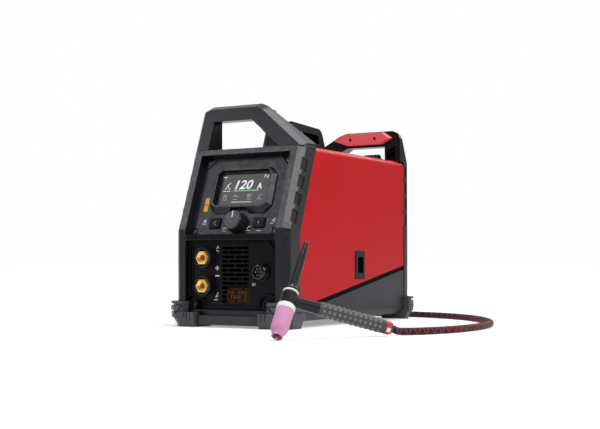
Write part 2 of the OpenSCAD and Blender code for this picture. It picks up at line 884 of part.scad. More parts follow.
bushing_r = shaft_r + 1.5;
module control_panel() {
  color("#33353b")
    difference() {
      union() {
        at_panel(-pocket_hw + seat_gap, ctrl_recess, ctrl_s0 + seat_gap)
          cube([2 * (pocket_hw - seat_gap), panel_t, ctrl_s1 - ctrl_s0 - 2 * seat_gap]);
        // Board posts, and ribs round the upper corners
        for (sx = [-1, 1], s = ctrl_screw_s)
          at_panel(sx * (throat_hw - 8), board_d, s > ctrl_mid ? s - 22 : s + 10)
            rotate([90, 0, 0])
              cylinder(h = board_gap + eps, r = 3);
        at_panel(0, ctrl_recess - rib_h / 2, ctrl_s1)
          along(0, rib_h / 2 + eps)
            difference() {
              upper_corners(rib_w);
              upper_corners(0);
            }
      }
      at_panel(0, ctrl_recess - rib_h, ctrl_s1)
        along(0, rib_h + corner_sink)
          upper_corners(0);
      for (sx = [-1, 1])
        at_panel(sx * pocket_hw, ctrl_recess - 1, ctrl_s0)
          translate([-lower_corner, 0, -1])
            cube([2 * lower_corner, 1 + corner_sink, lower_corner + 1]);
      at_panel(ctrl_cx, ctrl_recess - 5, screen_s)
        translate([-screen_w / 2 - 2, 0, -screen_h / 2 - 2])
          cube([screen_w + 4, 12, screen_h + 4]);
      at_panel(ctrl_cx, ctrl_back + 1, dial_s)
        rotate([90, 0, 0])
          cylinder(h = panel_t + 4, r = bushing_r + seat_gap);
      for (sx = [-1, 1])
        at_panel(ctrl_cx + sx * button_x, ctrl_recess - 1, dial_s)
          translate([-button_w / 2 - button_clear, 0, -button_h / 2 - button_clear])
            cube([button_w + 2 * button_clear, panel_t + 2, button_h + 2 * button_clear]);
      for (sx = [-1, 1], s = ctrl_screw_s)
        at_panel(sx * ctrl_screw_x, ctrl_back + 1, s)
          rotate([90, 0, 0])
            cylinder(h = 12, r = 2.3);
    }
}

// Frame round the screen, with room below for the dial
module display_bezel() {
  step = 3;
  rim = step + 2.5;
  side = screen_w / 2 + screen_frame_side;
  high = screen_h / 2 + screen_frame;
  low = -screen_h / 2 - screen_frame_low;
  cut = screen_frame_cut;
  dial_room = 8;
  outline = [
    [-side + cut, high], [side - cut, high], [side, high - cut], [side, low + cut],
    [side - cut, low], [-side + cut, low], [-side, low + cut], [-side, high - cut]
  ];
  widths = [for (i = [0:7]) i == 0 ? screen_frame : i == 4 ? screen_frame_low : screen_frame_side];
  color("#26272b")
    at_panel(ctrl_cx, ctrl_recess - screen_frame_h, screen_s)
      difference() {
        along(0, screen_frame_h) polygon(outline);
        for (i = [0:7])
          slope_cut(outline[i], outline[(i + 1) % 8], widths[i] - rim, screen_frame_h - 2 - i % 2 / 2);
        along(-1, screen_frame_h + 1) {
          cut_rect(screen_w, screen_h, step);
          polygon([
            [-dial_r - 2, low - 1], [-dial_r + 4, low + dial_room],
            [dial_r - 4, low + dial_room], [dial_r + 2, low - 1]
          ]);
        }
        along(-1, screen_frame_h - 3) cut_rect(screen_w + 2 * step, screen_h + 2 * step, 2 * step);
      }
}

module display_glass() {
  color("#2e302d")
    at_panel(ctrl_cx, ctrl_recess, screen_s)
      translate([-screen_w / 2 - 1.5, 0, -screen_h / 2 - 1.5])
        cube([screen_w + 3, panel_t, screen_h + 3]);
}

// Fluted dial on the encoder shaft
dial_gap = 1.2;
module dial_knob() {
  skirt_h = 3;
  at_dial() color("#1d1d1f")
    difference() {
      rotate_extrude()
        polygon([
          [0, dial_gap], [dial_r, dial_gap], [dial_r, dial_gap + skirt_h],
          [dial_r - 1.5, dial_h - 2], [dial_r - 3, dial_h], [0, dial_h]
        ]);
      for (i = [0:dial_flutes - 1])
        rotate([0, 0, (i + 0.5) * 360 / dial_flutes])
          translate([dial_r + 2.6, 0, dial_gap + skirt_h])
            cylinder(h = dial_h, r = 4, $fn = 32);
      // Blind bore for the shaft and a groove for the pointer
      translate([0, 0, -1]) cylinder(h = dial_h - 3, r = shaft_r + eps);
      translate([-1.1, 3, dial_h - 1]) cube([2.2, dial_r - 3, 2]);
    }
}

module at_dial() {
  at_panel(ctrl_cx, ctrl_recess, dial_s)
    rotate([90, 0, 0])
      children();
}

module dial_pointer() {
  color("white")
    at_dial()
      translate([-0.9, 3.2, dial_h - 1])
        cube([1.8, dial_r - 6.6, 1.2]);
}

// Encoder: body and threaded bushing on the control board, shaft and plunger inside
encoder_h = 9;
plunger_t = 2;
module encoder_shaft() {
  color("#b8bcc2")
    at_dial()
      translate([0, 0, -panel_t - board_gap + 1.5 + plunger_t + dial_travel])
        cylinder(h = dial_h - 4 + panel_t + board_gap - 1.5 - plunger_t - dial_travel, r = shaft_r);
}

module encoder_plunger() {
  color("#d8d8d0")
    at_dial()
      translate([0, 0, -panel_t - board_gap + 1.5 + dial_travel])
        cylinder(h = plunger_t, r = shaft_r);
}

// Control board with the screen's module, encoder and button switches
module control_board() {
  color("#1f6b3a") {
    at_panel(-throat_hw + 2, board_d, ctrl_s0 + panel_lip + 3)
      cube([2 * throat_hw - 4, board_t, ctrl_s1 - ctrl_s0 - 2 * panel_lip - 18]);
    at_panel(ctrl_cx, ctrl_back, screen_s)
      translate([-screen_w / 2 - 5, 0, -screen_h / 2 - 5])
        cube([screen_w + 10, board_gap + eps, screen_h + 10]);
    for (sx = [-1, 1])
      at_panel(ctrl_cx + sx * button_x, board_d + eps, dial_s)
        rotate([90, 0, 0])
          linear_extrude(switch_reach + eps)
            square(8, center = true);
    at_dial()
      difference() {
        union() {
          translate([-7, -7, -panel_t - board_gap - eps]) cube([14, 14, encoder_h]);
          translate([0, 0, -panel_t - board_gap - eps])
            cylinder(h = panel_t + board_gap - 0.5, r = bushing_r);
        }
        translate([0, 0, -panel_t - board_gap + 1.5]) cylinder(h = 40, r = shaft_r + shaft_clear);
      }
  }
}

// Push button with a retaining flange behind the panel
flange_t = 1.5;
flange_gap = 0.2;
switch_reach = 3.4;
module panel_button(sx) {
  color("#232427")
    at_panel(ctrl_cx + sx * button_x, ctrl_recess, dial_s)
      rotate([90, 0, 0])
        difference() {
          union() {
            translate([0, 0, -panel_t - flange_gap - flange_t])
              linear_extrude(panel_t + flange_gap + flange_t + button_out - 1)
                cut_rect(button_w, button_h, 2);
            linear_extrude(button_out) cut_rect(button_w - 2, button_h - 2, 2);
            translate([0, 0, -panel_t - flange_gap - flange_t])
              linear_extrude(flange_t)
                square([button_w + 3, button_h + 3], center = true);
            translate([0, 0, -panel_t - board_gap + switch_reach + button_travel + 0.3])
              linear_extrude(board_gap - switch_reach - button_travel - 0.3 - flange_gap - 0.5)
                square(6, center = true);
          }
          // Sunk arrow mark
          translate([0, 0, button_out - 0.6])
            linear_extrude(1)
              polygon([[sx * 4, 0], [-sx * 3, 5], [-sx * 3, -5]]);
        }
}

module left_button() {
  panel_button(-1);
}
module right_button() {
  panel_button(1);
}

// Connector panel with its louvre, socket posts and raised rib
louvre_pitch = louvre_slot + louvre_web;
brick_pitch = (louvre_w + louvre_web) / 2;
module louvre_row(odd) {
  intersection() {
    translate([-louvre_w / 2, 0]) square([louvre_w, louvre_slot]);
    for (k = [0:2])
      translate([-louvre_w / 2 + (k - odd / 2) * brick_pitch, 0])
        square([brick_pitch - louvre_web, louvre_slot]);
  }
}

// Line that the raised rib follows, drawn in by k
module rib_line(k) {
  x1 = pocket_hw - 4 - k;
  difference() {
    polygon([
      [-x1, conn_z0 + 5 + k], [-x1, conn_z1 - 3 - k], [x1 - 14 + k / 2, conn_z1 - 3 - k],
      [x1, conn_z1 - 17 - k / 2], [x1, conn_z0 + 5 + k]
    ]);
    for (sx = [-1, 1])
      translate([sx * boss_x, boss_z])
        circle(2 * boss_r + k);
  }
}

module connector_panel() {
  color("#1f2023")
    difference() {
      union() {
        block([-pocket_hw + seat_gap, conn_face_y, conn_z0 + seat_gap],
              [pocket_hw - seat_gap, conn_back_y, conn_z1 - seat_gap]);
        // Raised rib in two lines
        along(conn_face_y - rib_h, conn_face_y + eps)
          difference() {
            rib_line(0);
            rib_line(rib_w);
          }
        along(conn_face_y - rib_h / 2, conn_face_y + eps)
          difference() {
            rib_line(rib_w + 1.5);
            rib_line(2 * rib_w + 1.5);
          }
        // Bosses in the lower corners, and the socket posts
        for (sx = [-1, 1])
          rod_y(sx * boss_x, boss_z, front_y, conn_face_y + eps, boss_r);
        for (z = [socket_z_lower, socket_z_upper])
          rod_y(socket_x, z, conn_face_y - 4, conn_face_y + eps, socket_r + 2);
      }
      // Louvre in a brick pattern
      for (i = [0:louvre_rows - 1])
        translate([louvre_x, 0, louvre_z + i * louvre_pitch])
          along(conn_face_y - 1, conn_back_y + 1)
            louvre_row(i % 2);
      for (z = [socket_z_lower, socket_z_upper])
        rod_y(socket_x, z, front_y - 1, conn_back_y + 1, socket_r - 6 + seat_gap);
      rod_y(remote_x, remote_z, front_y - 1, conn_back_y + 1, remote_r - 3 + seat_gap);
      for (sx = [-1, 1])
        rod_y(sx * boss_x, boss_z, front_y - 1, front_y + 5, 4.5);
      foot_room(front_y - 1, conn_back_y + 1, seat_gap);
    }
}

// Weld socket: a moulded collar, and a hexagonal brass body with a keyed bore
module collar(z) {
  color("#17171a")
    difference() {
      union() {
        rod_y(socket_x, z, front_y - 1, conn_face_y - 4, socket_r);
        rod_y(socket_x, z, conn_face_y - 4, conn_back_y + 2, socket_r - 6);
      }
      rod_y(socket_x, z, front_y - 2, conn_face_y - 5, socket_hex / 2 / cos(30) + 2);
      rod_y(socket_x, z, front_y - 2, conn_back_y + 3, socket_bore_r + 3 + seat_gap);
    }
}

module socket(z) {
  stud_l = 10;
  color("#c9a24a")
    difference() {
      union() {
        rod_y(socket_x, z, front_y - 1, conn_face_y - 5, socket_hex / 2 / cos(30), 6);
        rod_y(socket_x, z, conn_face_y - 5, front_y + socket_bore_l + 6, socket_bore_r + 3);
        rod_y(socket_x, z, front_y + socket_bore_l + 6 - eps, front_y + socket_bore_l + 6 + stud_l, 5);
      }
      rod_y(socket_x, z, front_y - 2, front_y - 1 + socket_bore_l, socket_bore_r);
      // Key way for the plug's lug
      block([socket_x - 1.6, front_y - 2, z + socket_bore_r - 1],
            [socket_x + 1.6, front_y + 12, z + socket_bore_r + 1.8]);
    }
}

module socket_collars() {
  collar(socket_z_upper);
  collar(socket_z_lower);
}
module upper_socket() {
  socket(socket_z_upper);
}
module lower_socket() {
  socket(socket_z_lower);
}

// Remote receptacle: shell with an insulator and contact holes
module remote_receptacle() {
  contacts = 6;
  color("#151517")
    difference() {
      union() {
        rod_y(remote_x, remote_z, conn_face_y - remote_l, conn_face_y, remote_r);
        rod_y(remote_x, remote_z, conn_face_y - 2, conn_face_y, remote_r + 3);
        rod_y(remote_x, remote_z, conn_face_y - eps, conn_back_y + 8, remote_r - 3);
      }
      rod_y(remote_x, remote_z, conn_face_y - remote_l - 1, conn_face_y - remote_l + 3, remote_r - 2);
      for (i = [0:contacts - 1])
        translate([(remote_r - 6) * cos(60 * i), 0, (remote_r - 6) * sin(60 * i)])
          rod_y(remote_x, remote_z, conn_face_y - remote_l, conn_face_y - remote_l + 7, 1);
    }
}

// Screws of the panels and the grips
module case_screws() {
  color("#3b3c40") {
    for (sx = [-1, 1]) {
      rod_y(sx * boss_x, boss_z, front_y + 2, front_y + 5, 4);
      for (s = ctrl_screw_s)
        at_panel(sx * ctrl_screw_x, ctrl_back, s)
          rotate([90, 0, 0]) {
            cylinder(h = panel_t - corner_sink + eps, r = 2);
            translate([0, 0, panel_t - corner_sink]) cylinder(h = 2.4, r = 4);
          }
    }
    for (x = grip_screw_x) {
      translate([0, handle_back_y, top_z])
        rod_y(x, grip_z(front_handle_h), 3, 5.5, grip_screw_r - seat_gap);
      translate([0, rear_handle_y, top_z])
        rotate([0, 0, 180])
          rod_y(x, grip_z(rear_handle_h), 3, 5.5, grip_screw_r - seat_gap);
    }
  }
}

// Trim in the cover's side: a frame with a shallow window
module slot_insert(sx) {
  color("#141416")
    translate([sx * cover_hw, slot_y, slot_z])
      difference() {
        union() {
          translate([sx * 0.6, 0, 0]) cube([1.2, slot_w, slot_h], center = true);
          translate([-sx * 2.5, 0, 0]) cube([5, slot_w - 5, slot_h - 5], center = true);
        }
        translate([0, 2, 0]) cube([5, slot_w * 0.6, slot_h * 0.57], center = true);
      }
}

module side_slots() {
  slot_insert(1);
  slot_insert(-1);
}

// Open accessory caddy on the case top, with a side window
caddy_y0 = handle_back_y + grip_t + caddy_gap;
caddy_y1 = caddy_y0 + caddy_l;
caddy_rear_h = caddy_h - 4;
// The slanted rear wall's depth at a height, drawn in by k
function caddy_rear(z, k = 0) = caddy_y1 + (caddy_rear_h - z) * tan(caddy_slant) - k / cos(caddy_slant);
// The rounded rear top corner, as a curve between the top edge and the slanted wall
function caddy_corner(t) =
  (1 - t) * (1 - t) * [caddy_y1 - caddy_round, caddy_rear_h]
  + 2 * t * (1 - t) * [caddy_y1, caddy_rear_h]
  + t * t * [caddy_rear(caddy_rear_h - caddy_round), caddy_rear_h - caddy_round];

module top_caddy() {
  k = caddy_wall;
  over = caddy_h + 9;
  color("#242529")
    translate([0, 0, top_z])
      difference() {
        across(caddy_w)
          polygon(concat(
            [[caddy_y0, 0], [caddy_y0, caddy_h]],
            [for (t = [0:0.2:1]) caddy_corner(t)],
            [[caddy_rear(0), 0]]
          ));
        across(caddy_w - 2 * caddy_wall)
          polygon([
            [caddy_y0 + k, k], [caddy_y0 + k, over], [caddy_rear(over, k), over], [caddy_rear(k, k), k]
          ]);
        // Window in the right-hand wall
        translate([caddy_w / 2, 0, 0])
          rotate([90, 0, 90])
            translate([0, 0, -caddy_wall - 1])
              linear_extrude(caddy_wall + 2)
                polygon([
                  [caddy_y0 + 16, caddy_h * 0.4], [caddy_y0 + 16, caddy_h * 0.74],
                  [caddy_y1 - 10, caddy_h * 0.7], [caddy_y1 - 6, caddy_h * 0.4]
                ]);
      }
}

// Ribbed cable clip in front of the rear handle
module cable_clip() {
  ribs = 5;
  clip_d = 20;
  pitch = clip_w / ribs;
  color("#1c1d20")
    translate([half_w * 0.55, rear_handle_y - clip_d - 6, top_z]) {
      translate([-clip_w / 2, 0, 0]) cube([clip_w, clip_d, clip_h * 0.45]);
      for (i = [0:ribs - 1])
        translate([-clip_w / 2 + (i + 0.5) * pitch, 0, 0])
          across(pitch * 0.6)
            polygon([[0, 0], [2, clip_h * 0.8], [7, clip_h], [clip_d - 6, clip_h * 0.9], [clip_d, 0]]);
    }
}

// Rear panel with its fan opening and the holes for the fittings
fan_r = fan_size / 2 - 3;
module rear_panel() {
  color("#232428") {
    fan_guard();
    difference() {
      block([-pocket_hw + seat_gap, rear_in_y, conn_z0 + seat_gap],
            [pocket_hw - seat_gap, rear_face_y, top_z - 14 - seat_gap]);
      rod_y(fan_x, fan_z, rear_in_y - 1, rear_face_y + 1, fan_r);
      rod_y(rear_fit_x, gas_z, rear_in_y - 1, rear_face_y + 1, gas_r - 1 + seat_gap);
      rod_y(rear_fit_x, gland_z, rear_in_y - 1, rear_face_y + 1, gland_bore_r + 3 + seat_gap);
      block([rear_fit_x - switch_w / 2 - seat_gap, rear_in_y - 1, switch_z - switch_h / 2 - seat_gap],
            [rear_fit_x + switch_w / 2 + seat_gap, rear_face_y + 1, switch_z + switch_h / 2 + seat_gap]);
      foot_room(rear_in_y - 1, rear_y + 1, seat_gap);
    }
  }
}

// Fan guard moulded on the rear panel: rings and spokes
module fan_guard() {
  rings = 5;
  step = fan_r / rings;
  along(rear_face_y - eps, rear_face_y + 3)
    translate([fan_x, fan_z]) {
      for (i = [1:rings])
        difference() {
          circle(i * step + (i == rings ? 3 : 0));
          circle(i * step - 2.4);
        }
      for (a = [0:45:179])
        rotate(a)
          square([2 * fan_r + 2, 3], center = true);
      circle(step * 0.8);
    }
}

module fan_frame() {
  y0 = rear_in_y - fan_t;
  color("#2a2a2c") {
    difference() {
      along(y0, rear_in_y)
        translate([fan_x, fan_z])
          round_rect(fan_size, fan_size, 6);
      rod_y(fan_x, fan_z, y0 - 1, rear_in_y + 1, fan_r, 72);
    }
    // Motor plate on three arms, with the fixed shaft
    rod_y(fan_x, fan_z, y0, y0 + 4, 21);
    for (a = [90, 210, 330])
      translate([fan_x, y0, fan_z])
        rotate([0, a, 0])
          translate([18, 0, -3])
            cube([fan_r - 16, 4, 6]);
    rod_y(fan_x, fan_z, y0 + 3, y0 + fan_t - 6, fan_shaft_r);
  }
}

// Fan wheel: hub and pitched blades
module fan_rotor() {
  y0 = rear_in_y - fan_t;
  hub_r = 20;
  reach = fan_r - fan_clear;
  color("#3a3a3d")
    difference() {
      union() {
        rod_y(fan_x, fan_z, y0 + 5, y0 + fan_t - 3, hub_r);
        intersection() {
          rod_y(fan_x, fan_z, y0 + 5.5, y0 + fan_t - 3.5, reach, 72);
          translate([fan_x, y0 + fan_t / 2 + 1, fan_z])
            for (i = [0:fan_blades - 1])
              rotate([0, i * 360 / fan_blades, 0])
                translate([hub_r - 3, 0, 0])
                  rotate([38, 0, 0])
                    translate([0, -1, -17])
                      cube([reach - hub_r + 6, 2, 34]);
        }
      }
      rod_y(fan_x, fan_z, y0 + 4, y0 + fan_t - 5, fan_shaft_r + shaft_clear);
    }
}

// Rocker power switch: a frame through the rear panel, and a rocker on two pins
switch_w = 22;
switch_h = 32;
rocker_w = 14;
rocker_pin_r = 1.5;
rocker_y = rear_face_y - 3;
module power_switch_frame() {
  color("#17171a")
    difference() {
      union() {
        block([rear_fit_x - switch_w / 2, rear_face_y - 22, switch_z - switch_h / 2],
              [rear_fit_x + switch_w / 2, rear_face_y, switch_z + switch_h / 2]);
        along(rear_face_y, rear_face_y + 2.5)
          translate([rear_fit_x, switch_z])
            round_rect(switch_w + 5, switch_h + 5, 2);
      }
      block([rear_fit_x - rocker_w / 2 - 0.4, rear_face_y - 16, switch_z - 14],
            [rear_fit_x + rocker_w / 2 + 0.4, rear_face_y + 4, switch_z + 14]);
      translate([rear_fit_x, rocker_y, switch_z])
        rotate([0, 90, 0])
          cylinder(h = rocker_w + 7, r = rocker_pin_r + shaft_clear, center = true);
    }
}

module power_switch_rocker() {
  color("#2b2b2e")
    translate([rear_fit_x, rocker_y, switch_z])
      rotate([-switch_swing / 2, 0, 0]) {
        across(rocker_w)
          polygon([[-4, -5], [-4, 5], [0, 11], [9, 11], [7, 0], [9, -11], [0, -11]]);
        rotate([0, 90, 0])
          cylinder(h = rocker_w + 6, r = rocker_pin_r, center = true);
      }
}

module gas_inlet() {
  color("#c2a050")
    difference() {
      union() {
        rod_y(rear_fit_x, gas_z, rear_face_y, rear_face_y + 6, 13, 6);
        rod_y(rear_fit_x, gas_z, rear_face_y + 5, rear_face_y + 6 + gas_l, gas_r);
        rod_y(rear_fit_x, gas_z, rear_in_y - 6, rear_face_y + 1, gas_r - 1);
      }
      rod_y(rear_fit_x, gas_z, rear_in_y - 5, rear_face_y + 7 + gas_l, 3);
    }
}

module power_cord_gland() {
  color("#1b1b1d")
    difference() {
      union() {
        rod_y(rear_fit_x, gland_z, rear_face_y, rear_face_y + 7, gland_bore_r + 9, 6);
        translate([rear_fit_x, rear_face_y + 6, gland_z])
          rotate([-90, 0, 0])
            rotate_extrude()
              polygon([
                [0, 0], [gland_bore_r + 6, 0], [gland_bore_r + 6, gland_l - 14],
                [gland_bore_r + 2, gland_l - 6], [0, gland_l - 6]
              ]);
        rod_y(rear_fit_x, gland_z, rear_in_y - 8, rear_face_y + 1, gland_bore_r + 3);
      }
      rod_y(rear_fit_x, gland_z, rear_in_y - 9, rear_face_y + gland_l + 1, gland_bore_r);
    }
}

// Finned heatsinks on the base
sink_y0 = band_y + sink_back;
sink_y1 = sink_y0 + sink_l;
sink_x = (sink_w + sink_gap) / 2;
fin_t = 3;
capacitor_h = 48;
board_hw = sink_x + sink_w / 2 + 1;
board_z = floor_top + sink_h;
module heatsink(sx) {
  fins = 8;
  color("#b9bdc3")
    translate([sx * sink_x, 0, floor_top])
      along(sink_y0, sink_y1) {
        translate([-sink_w / 2, sink_h - 2 * fin_t]) square([sink_w, 2 * fin_t]);
        for (i = [0:fins - 1]) {
          lift = i == 0 || i == fins - 1 ? 0 : 3 * fin_t;
          translate([-sink_w / 2 + fin_t + i * (sink_w - 3 * fin_t) / (fins - 1), lift])
            square([fin_t, sink_h - fin_t - lift]);
        }
      }
}

module heatsinks() {
  heatsink(-1);
  heatsink(1);
}

// Capacitors and the transformer's ferrite frame, on the power board
core_at = [sink_x - 10, (sink_y0 + sink_y1) / 2 + 10];
window_w = core_leg - 6;
window_h = core_h - core_leg;
module board_parts() {
  color("#3c3c40") {
    for (i = [0:2])
      translate([-sink_x - capacitor_r + 1, sink_y0 + 40 + i * 2.5 * capacitor_r, board_z + board_t]) {
        cylinder(h = capacitor_h - 2, r = capacitor_r);
        cylinder(h = capacitor_h, r = capacitor_r - 2);
      }
    translate([core_at[0], core_at[1], board_z + board_t])
      difference() {
        translate([-core_w / 2, -core_d / 2, 0]) cube([core_w, core_d, core_h]);
        for (sx = [-1, 1])
          translate([sx * (core_leg + window_w) / 2, 0, core_h / 2])
            cube([window_w, core_d + 2, window_h], center = true);
      }
  }
}

module transformer_winding() {
  color("#b4702c")
    translate([core_at[0], core_at[1], board_z + board_t + (core_h - window_h) / 2 + 2])
      linear_extrude(window_h - 4)
        difference() {
          round_rect(core_leg + 2 * window_w - 2, core_d + window_w, 12);
          square([core_leg, core_d], center = true);
        }
}

// High-frequency coil behind the louvre, on its own board
hf_x = -20;
hf_y = band_y + 22;
hf_board_w = 110;
hf_board_d = 40;
hf_board_z = floor_top + 12;
hf_r = 13;
hf_wire_r = 2.6;
hf_pitch = 7;
hf_turns = 5.5;
hf_mid_z = hf_board_z + board_t + 10 + hf_r;
function hf_point(a) = [
  hf_x + hf_pitch * (a / 360 - hf_turns / 2), hf_y + hf_r * cos(a), hf_mid_z + hf_r * sin(a)
];
hf_path = concat(
  [[hf_point(0)[0], hf_y + hf_r, hf_board_z + board_t],
   [hf_point(0)[0], hf_y + hf_r, hf_board_z + board_t + 2 * hf_wire_r]],
  [for (a = [0:15:360 * hf_turns]) hf_point(a)],
  [[hf_point(360 * hf_turns)[0], hf_y - hf_r, hf_board_z + board_t + 2 * hf_wire_r],
   [hf_point(360 * hf_turns)[0], hf_y - hf_r, hf_board_z + board_t]]
);
module hf_coil() {
  color("#c87a35") tube(hf_path, hf_wire_r, 6, [1, 0, 0]);
}

// Power board on the heatsinks, and the small board under the coil
module circuit_boards() {
  color("#1f5f38") {
    block([-board_hw, sink_y0, board_z], [board_hw, sink_y1, board_z + board_t]);
    block([hf_x - hf_board_w / 2, hf_y - hf_board_d / 2, hf_board_z],
          [hf_x + hf_board_w / 2, hf_y + hf_board_d / 2, hf_board_z + board_t]);
    for (sx = [-1, 1], sy = [-1, 1])
      translate([hf_x + sx * (hf_board_w / 2 - 6), hf_y + sy * (hf_board_d / 2 - 5), floor_top])
        cylinder(h = hf_board_z - floor_top + eps, r = 3);
  }
}

// Copper bars from the sockets to the power board, with the gas hose's block
hose_y = band_y + 52;
module bus_bars() {
  stud_y = front_y + socket_bore_l + 16;
  color("#c07a3c") {
    block([socket_x - 7, stud_y, socket_z_upper - 6], [socket_x + 7, stud_y + 3, socket_z_upper + 6]);
    block([socket_x - 7, stud_y, socket_z_upper + 3], [socket_x + 7, sink_y0 + 12, socket_z_upper + 6]);
    block([socket_x - 7, sink_y0 + 9, board_z + board_t], [socket_x + 7, sink_y0 + 12, socket_z_upper + 6]);
    block([socket_x - 7, stud_y, socket_z_lower - 6], [socket_x + 7, stud_y + 3, board_z + board_t + 3]);
    block([socket_x - 7, stud_y, board_z + board_t], [socket_x + 7, sink_y0 + 6, board_z + board_t + 3]);
    block([socket_x + 7 - eps, hose_y - 10, board_z - 14],
          [socket_x + 16, hose_y + 10, board_z + board_t + 3]);
  }
}

// Gas valve behind the inlet, and its hose
module gas_solenoid() {
  color("#8a8d92") {
    block([rear_fit_x - 14, rear_in_y - 40, gas_z - 13], [rear_fit_x + 12, rear_in_y - 6, gas_z + 13]);
    translate([rear_fit_x - 1, rear_in_y - 23, gas_z + 13 - eps]) cylinder(h = 24, r = 14);
    rod_y(rear_fit_x - 1, gas_z, rear_in_y - 52, rear_in_y - 40 + eps, 4);
  }
}

hose_r = 4;
hose_z = board_z - 7;
hose_path = smooth([
  [rear_fit_x - 1, rear_in_y - 52, gas_z],
  [rear_fit_x - 1, rear_in_y - 60, gas_z],
  [rear_fit_x - 1, rear_in_y - 72, gas_z],
  [rear_fit_x + 12, 80, gas_z + 4],
  [rear_fit_x + 22, 0, gas_z - 10],
  [rear_fit_x + 20, hose_y + 50, gas_z - 70],
  [rear_fit_x - 12, hose_y + 8, hose_z + 4],
  [20, hose_y, hose_z],
  [-12, hose_y, hose_z],
  [socket_x + 16, hose_y, hose_z]
], 4);
module gas_hose() {
  color("#2d5d86") tube(hose_path, hose_r, 8);
}

// Torch, lying with its cup or tungsten and its handle's end on the floor
cup_drop = head_l / 2 + shield_l + cup_l;
torch_z = 0.3 + max(
  (cup_drop + tungsten_out) * sin(torch_lean),
  cup_drop * sin(torch_lean) + cup_nose_r * cos(torch_lean)
);
torch_head = [torch_x, torch_y, torch_z];
torch_dip = asin((torch_z - grip_r - 0.5) / torch_l);
grip_dir = heading(-torch_dip, torch_heading);
torch_end = torch_head + torch_l * grip_dir;
head_bore_r = 5;

module on_cap_axis(h = 0) {
  translate(torch_head)
    rotate([0, 90 - torch_lean, torch_cap_heading])
      translate([0, 0, h])
        children();
}

module on_grip_axis(h = 0) {
  translate(torch_head)
    rotate([0, 90 + torch_dip, torch_heading])
      translate([0, 0, h])
        children();
}

neck_l = 46;
collar_l = 8;
ferrule_l = 5;
module torch_body() {
  color("#202124")
    difference() {
      union() {
        on_cap_axis(-head_l / 2)
          rotate_extrude()
            polygon([
              [0, 0], [head_r, 0], [head_r, head_l - 2], [head_r - 1.5, head_l], [0, head_l]
            ]);
        on_grip_axis(0)
          rotate_extrude()
            polygon([[0, 0], [7.5, 0], [8, 16], [9, neck_l], [0, neck_l]]);
      }
      on_cap_axis(-head_l / 2 - 1) cylinder(h = head_l + 2, r = head_bore_r);
      on_cap_axis(head_l / 2) cylinder(h = head_l, r = head_r + 1);
    }
}

// Grip with a slim core for the red collar
module torch_grip() {
  core_r = grip_r - 2;
  bare = torch_l - neck_l - ferrule_l;
  color("#36373b")
    on_grip_axis(neck_l)
      rotate_extrude()
        polygon([
          [0, 0], [grip_r - 0.6, 0], [grip_r, 4], [grip_r, bare - collar_l], [core_r, bare - collar_l],
          [core_r, bare], [grip_r, bare], [grip_r - 0.6, bare + 3], [cable_r + 1, bare + ferrule_l],
          [0, bare + ferrule_l]
        ]);
}

module torch_collar() {
  color("#c81e22")
    on_grip_axis(torch_l - collar_l - ferrule_l)
      difference() {
        cylinder(h = collar_l, r = grip_r + 0.2);
        translate([0, 0, -1]) cylinder(h = collar_l + 2, r = grip_r - 2 + eps);
      }
}

module heat_shield() {
  color("#eceae4")
    on_cap_axis(-head_l / 2 - shield_l)
      difference() {
        cylinder(h = shield_l, r = cup_r + 0.4);
        translate([0, 0, -1]) cylinder(h = shield_l + 2, r = head_bore_r);
      }
}

module gas_cup() {
  wall = 2;
  color("#d695c9")
    on_cap_axis(-cup_drop)
      rotate_extrude()
        polygon([
          [cup_nose_r - wall, 0], [cup_nose_r, 0], [cup_nose_r, 5], [cup_r, 12], [cup_r, cup_l - 1],
          [cup_r - 0.6, cup_l], [head_bore_r + 3, cup_l], [head_bore_r + 3, 18],
          [cup_nose_r - wall, 10]
        ]);
}

// Collet body with its gas lens, through the heat shield into the head
module collet_body() {
  color("#b98a3e")
    on_cap_axis(-cup_drop)
      difference() {
        union() {
          translate([0, 0, 19]) cylinder(h = cup_l - 19, r = head_bore_r + 3 - seat_gap);
          translate([0, 0, cup_l - eps])
            cylinder(h = shield_l + 8, r = head_bore_r - seat_gap);
        }
        translate([0, 0, 18]) cylinder(h = 80, r = tungsten_r + 0.02);
      }
}

module tungsten() {
  color("#a9adb3")
    on_cap_axis(-cup_drop - tungsten_out)
      rotate_extrude()
        polygon([
          [0, 0], [tungsten_r, 4], [tungsten_r, tungsten_out + cup_l + shield_l + 6],
          [0, tungsten_out + cup_l + shield_l + 6]
        ]);
}

cap_seal_t = 3;
module cap_seal() {
  color("#e4e4e0")
    on_cap_axis(head_l / 2)
      difference() {
        cylinder(h = cap_seal_t, r = head_r - 0.6);
        translate([0, 0, -1]) cylinder(h = cap_seal_t + 2, r = head_bore_r);
      }
}

module back_cap() {
  stem_l = cap_travel + 2;
  color("#141416")
    on_cap_axis(head_l / 2 + cap_seal_t)
      difference() {
        rotate_extrude()
          polygon([
            [0, -stem_l], [head_bore_r - seat_gap, -stem_l], [head_bore_r - seat_gap, seat_gap],
            [head_r - 3.5, seat_gap], [head_r - 3.5, 5], [7, 10], [5.2, cap_l * 0.72], [3.8, cap_l - 3],
            [2.8, cap_l], [0, cap_l]
          ]);
        translate([0, 0, -stem_l - 1]) cylinder(h = cap_l - 8, r = tungsten_r + 0.5);
      }
}

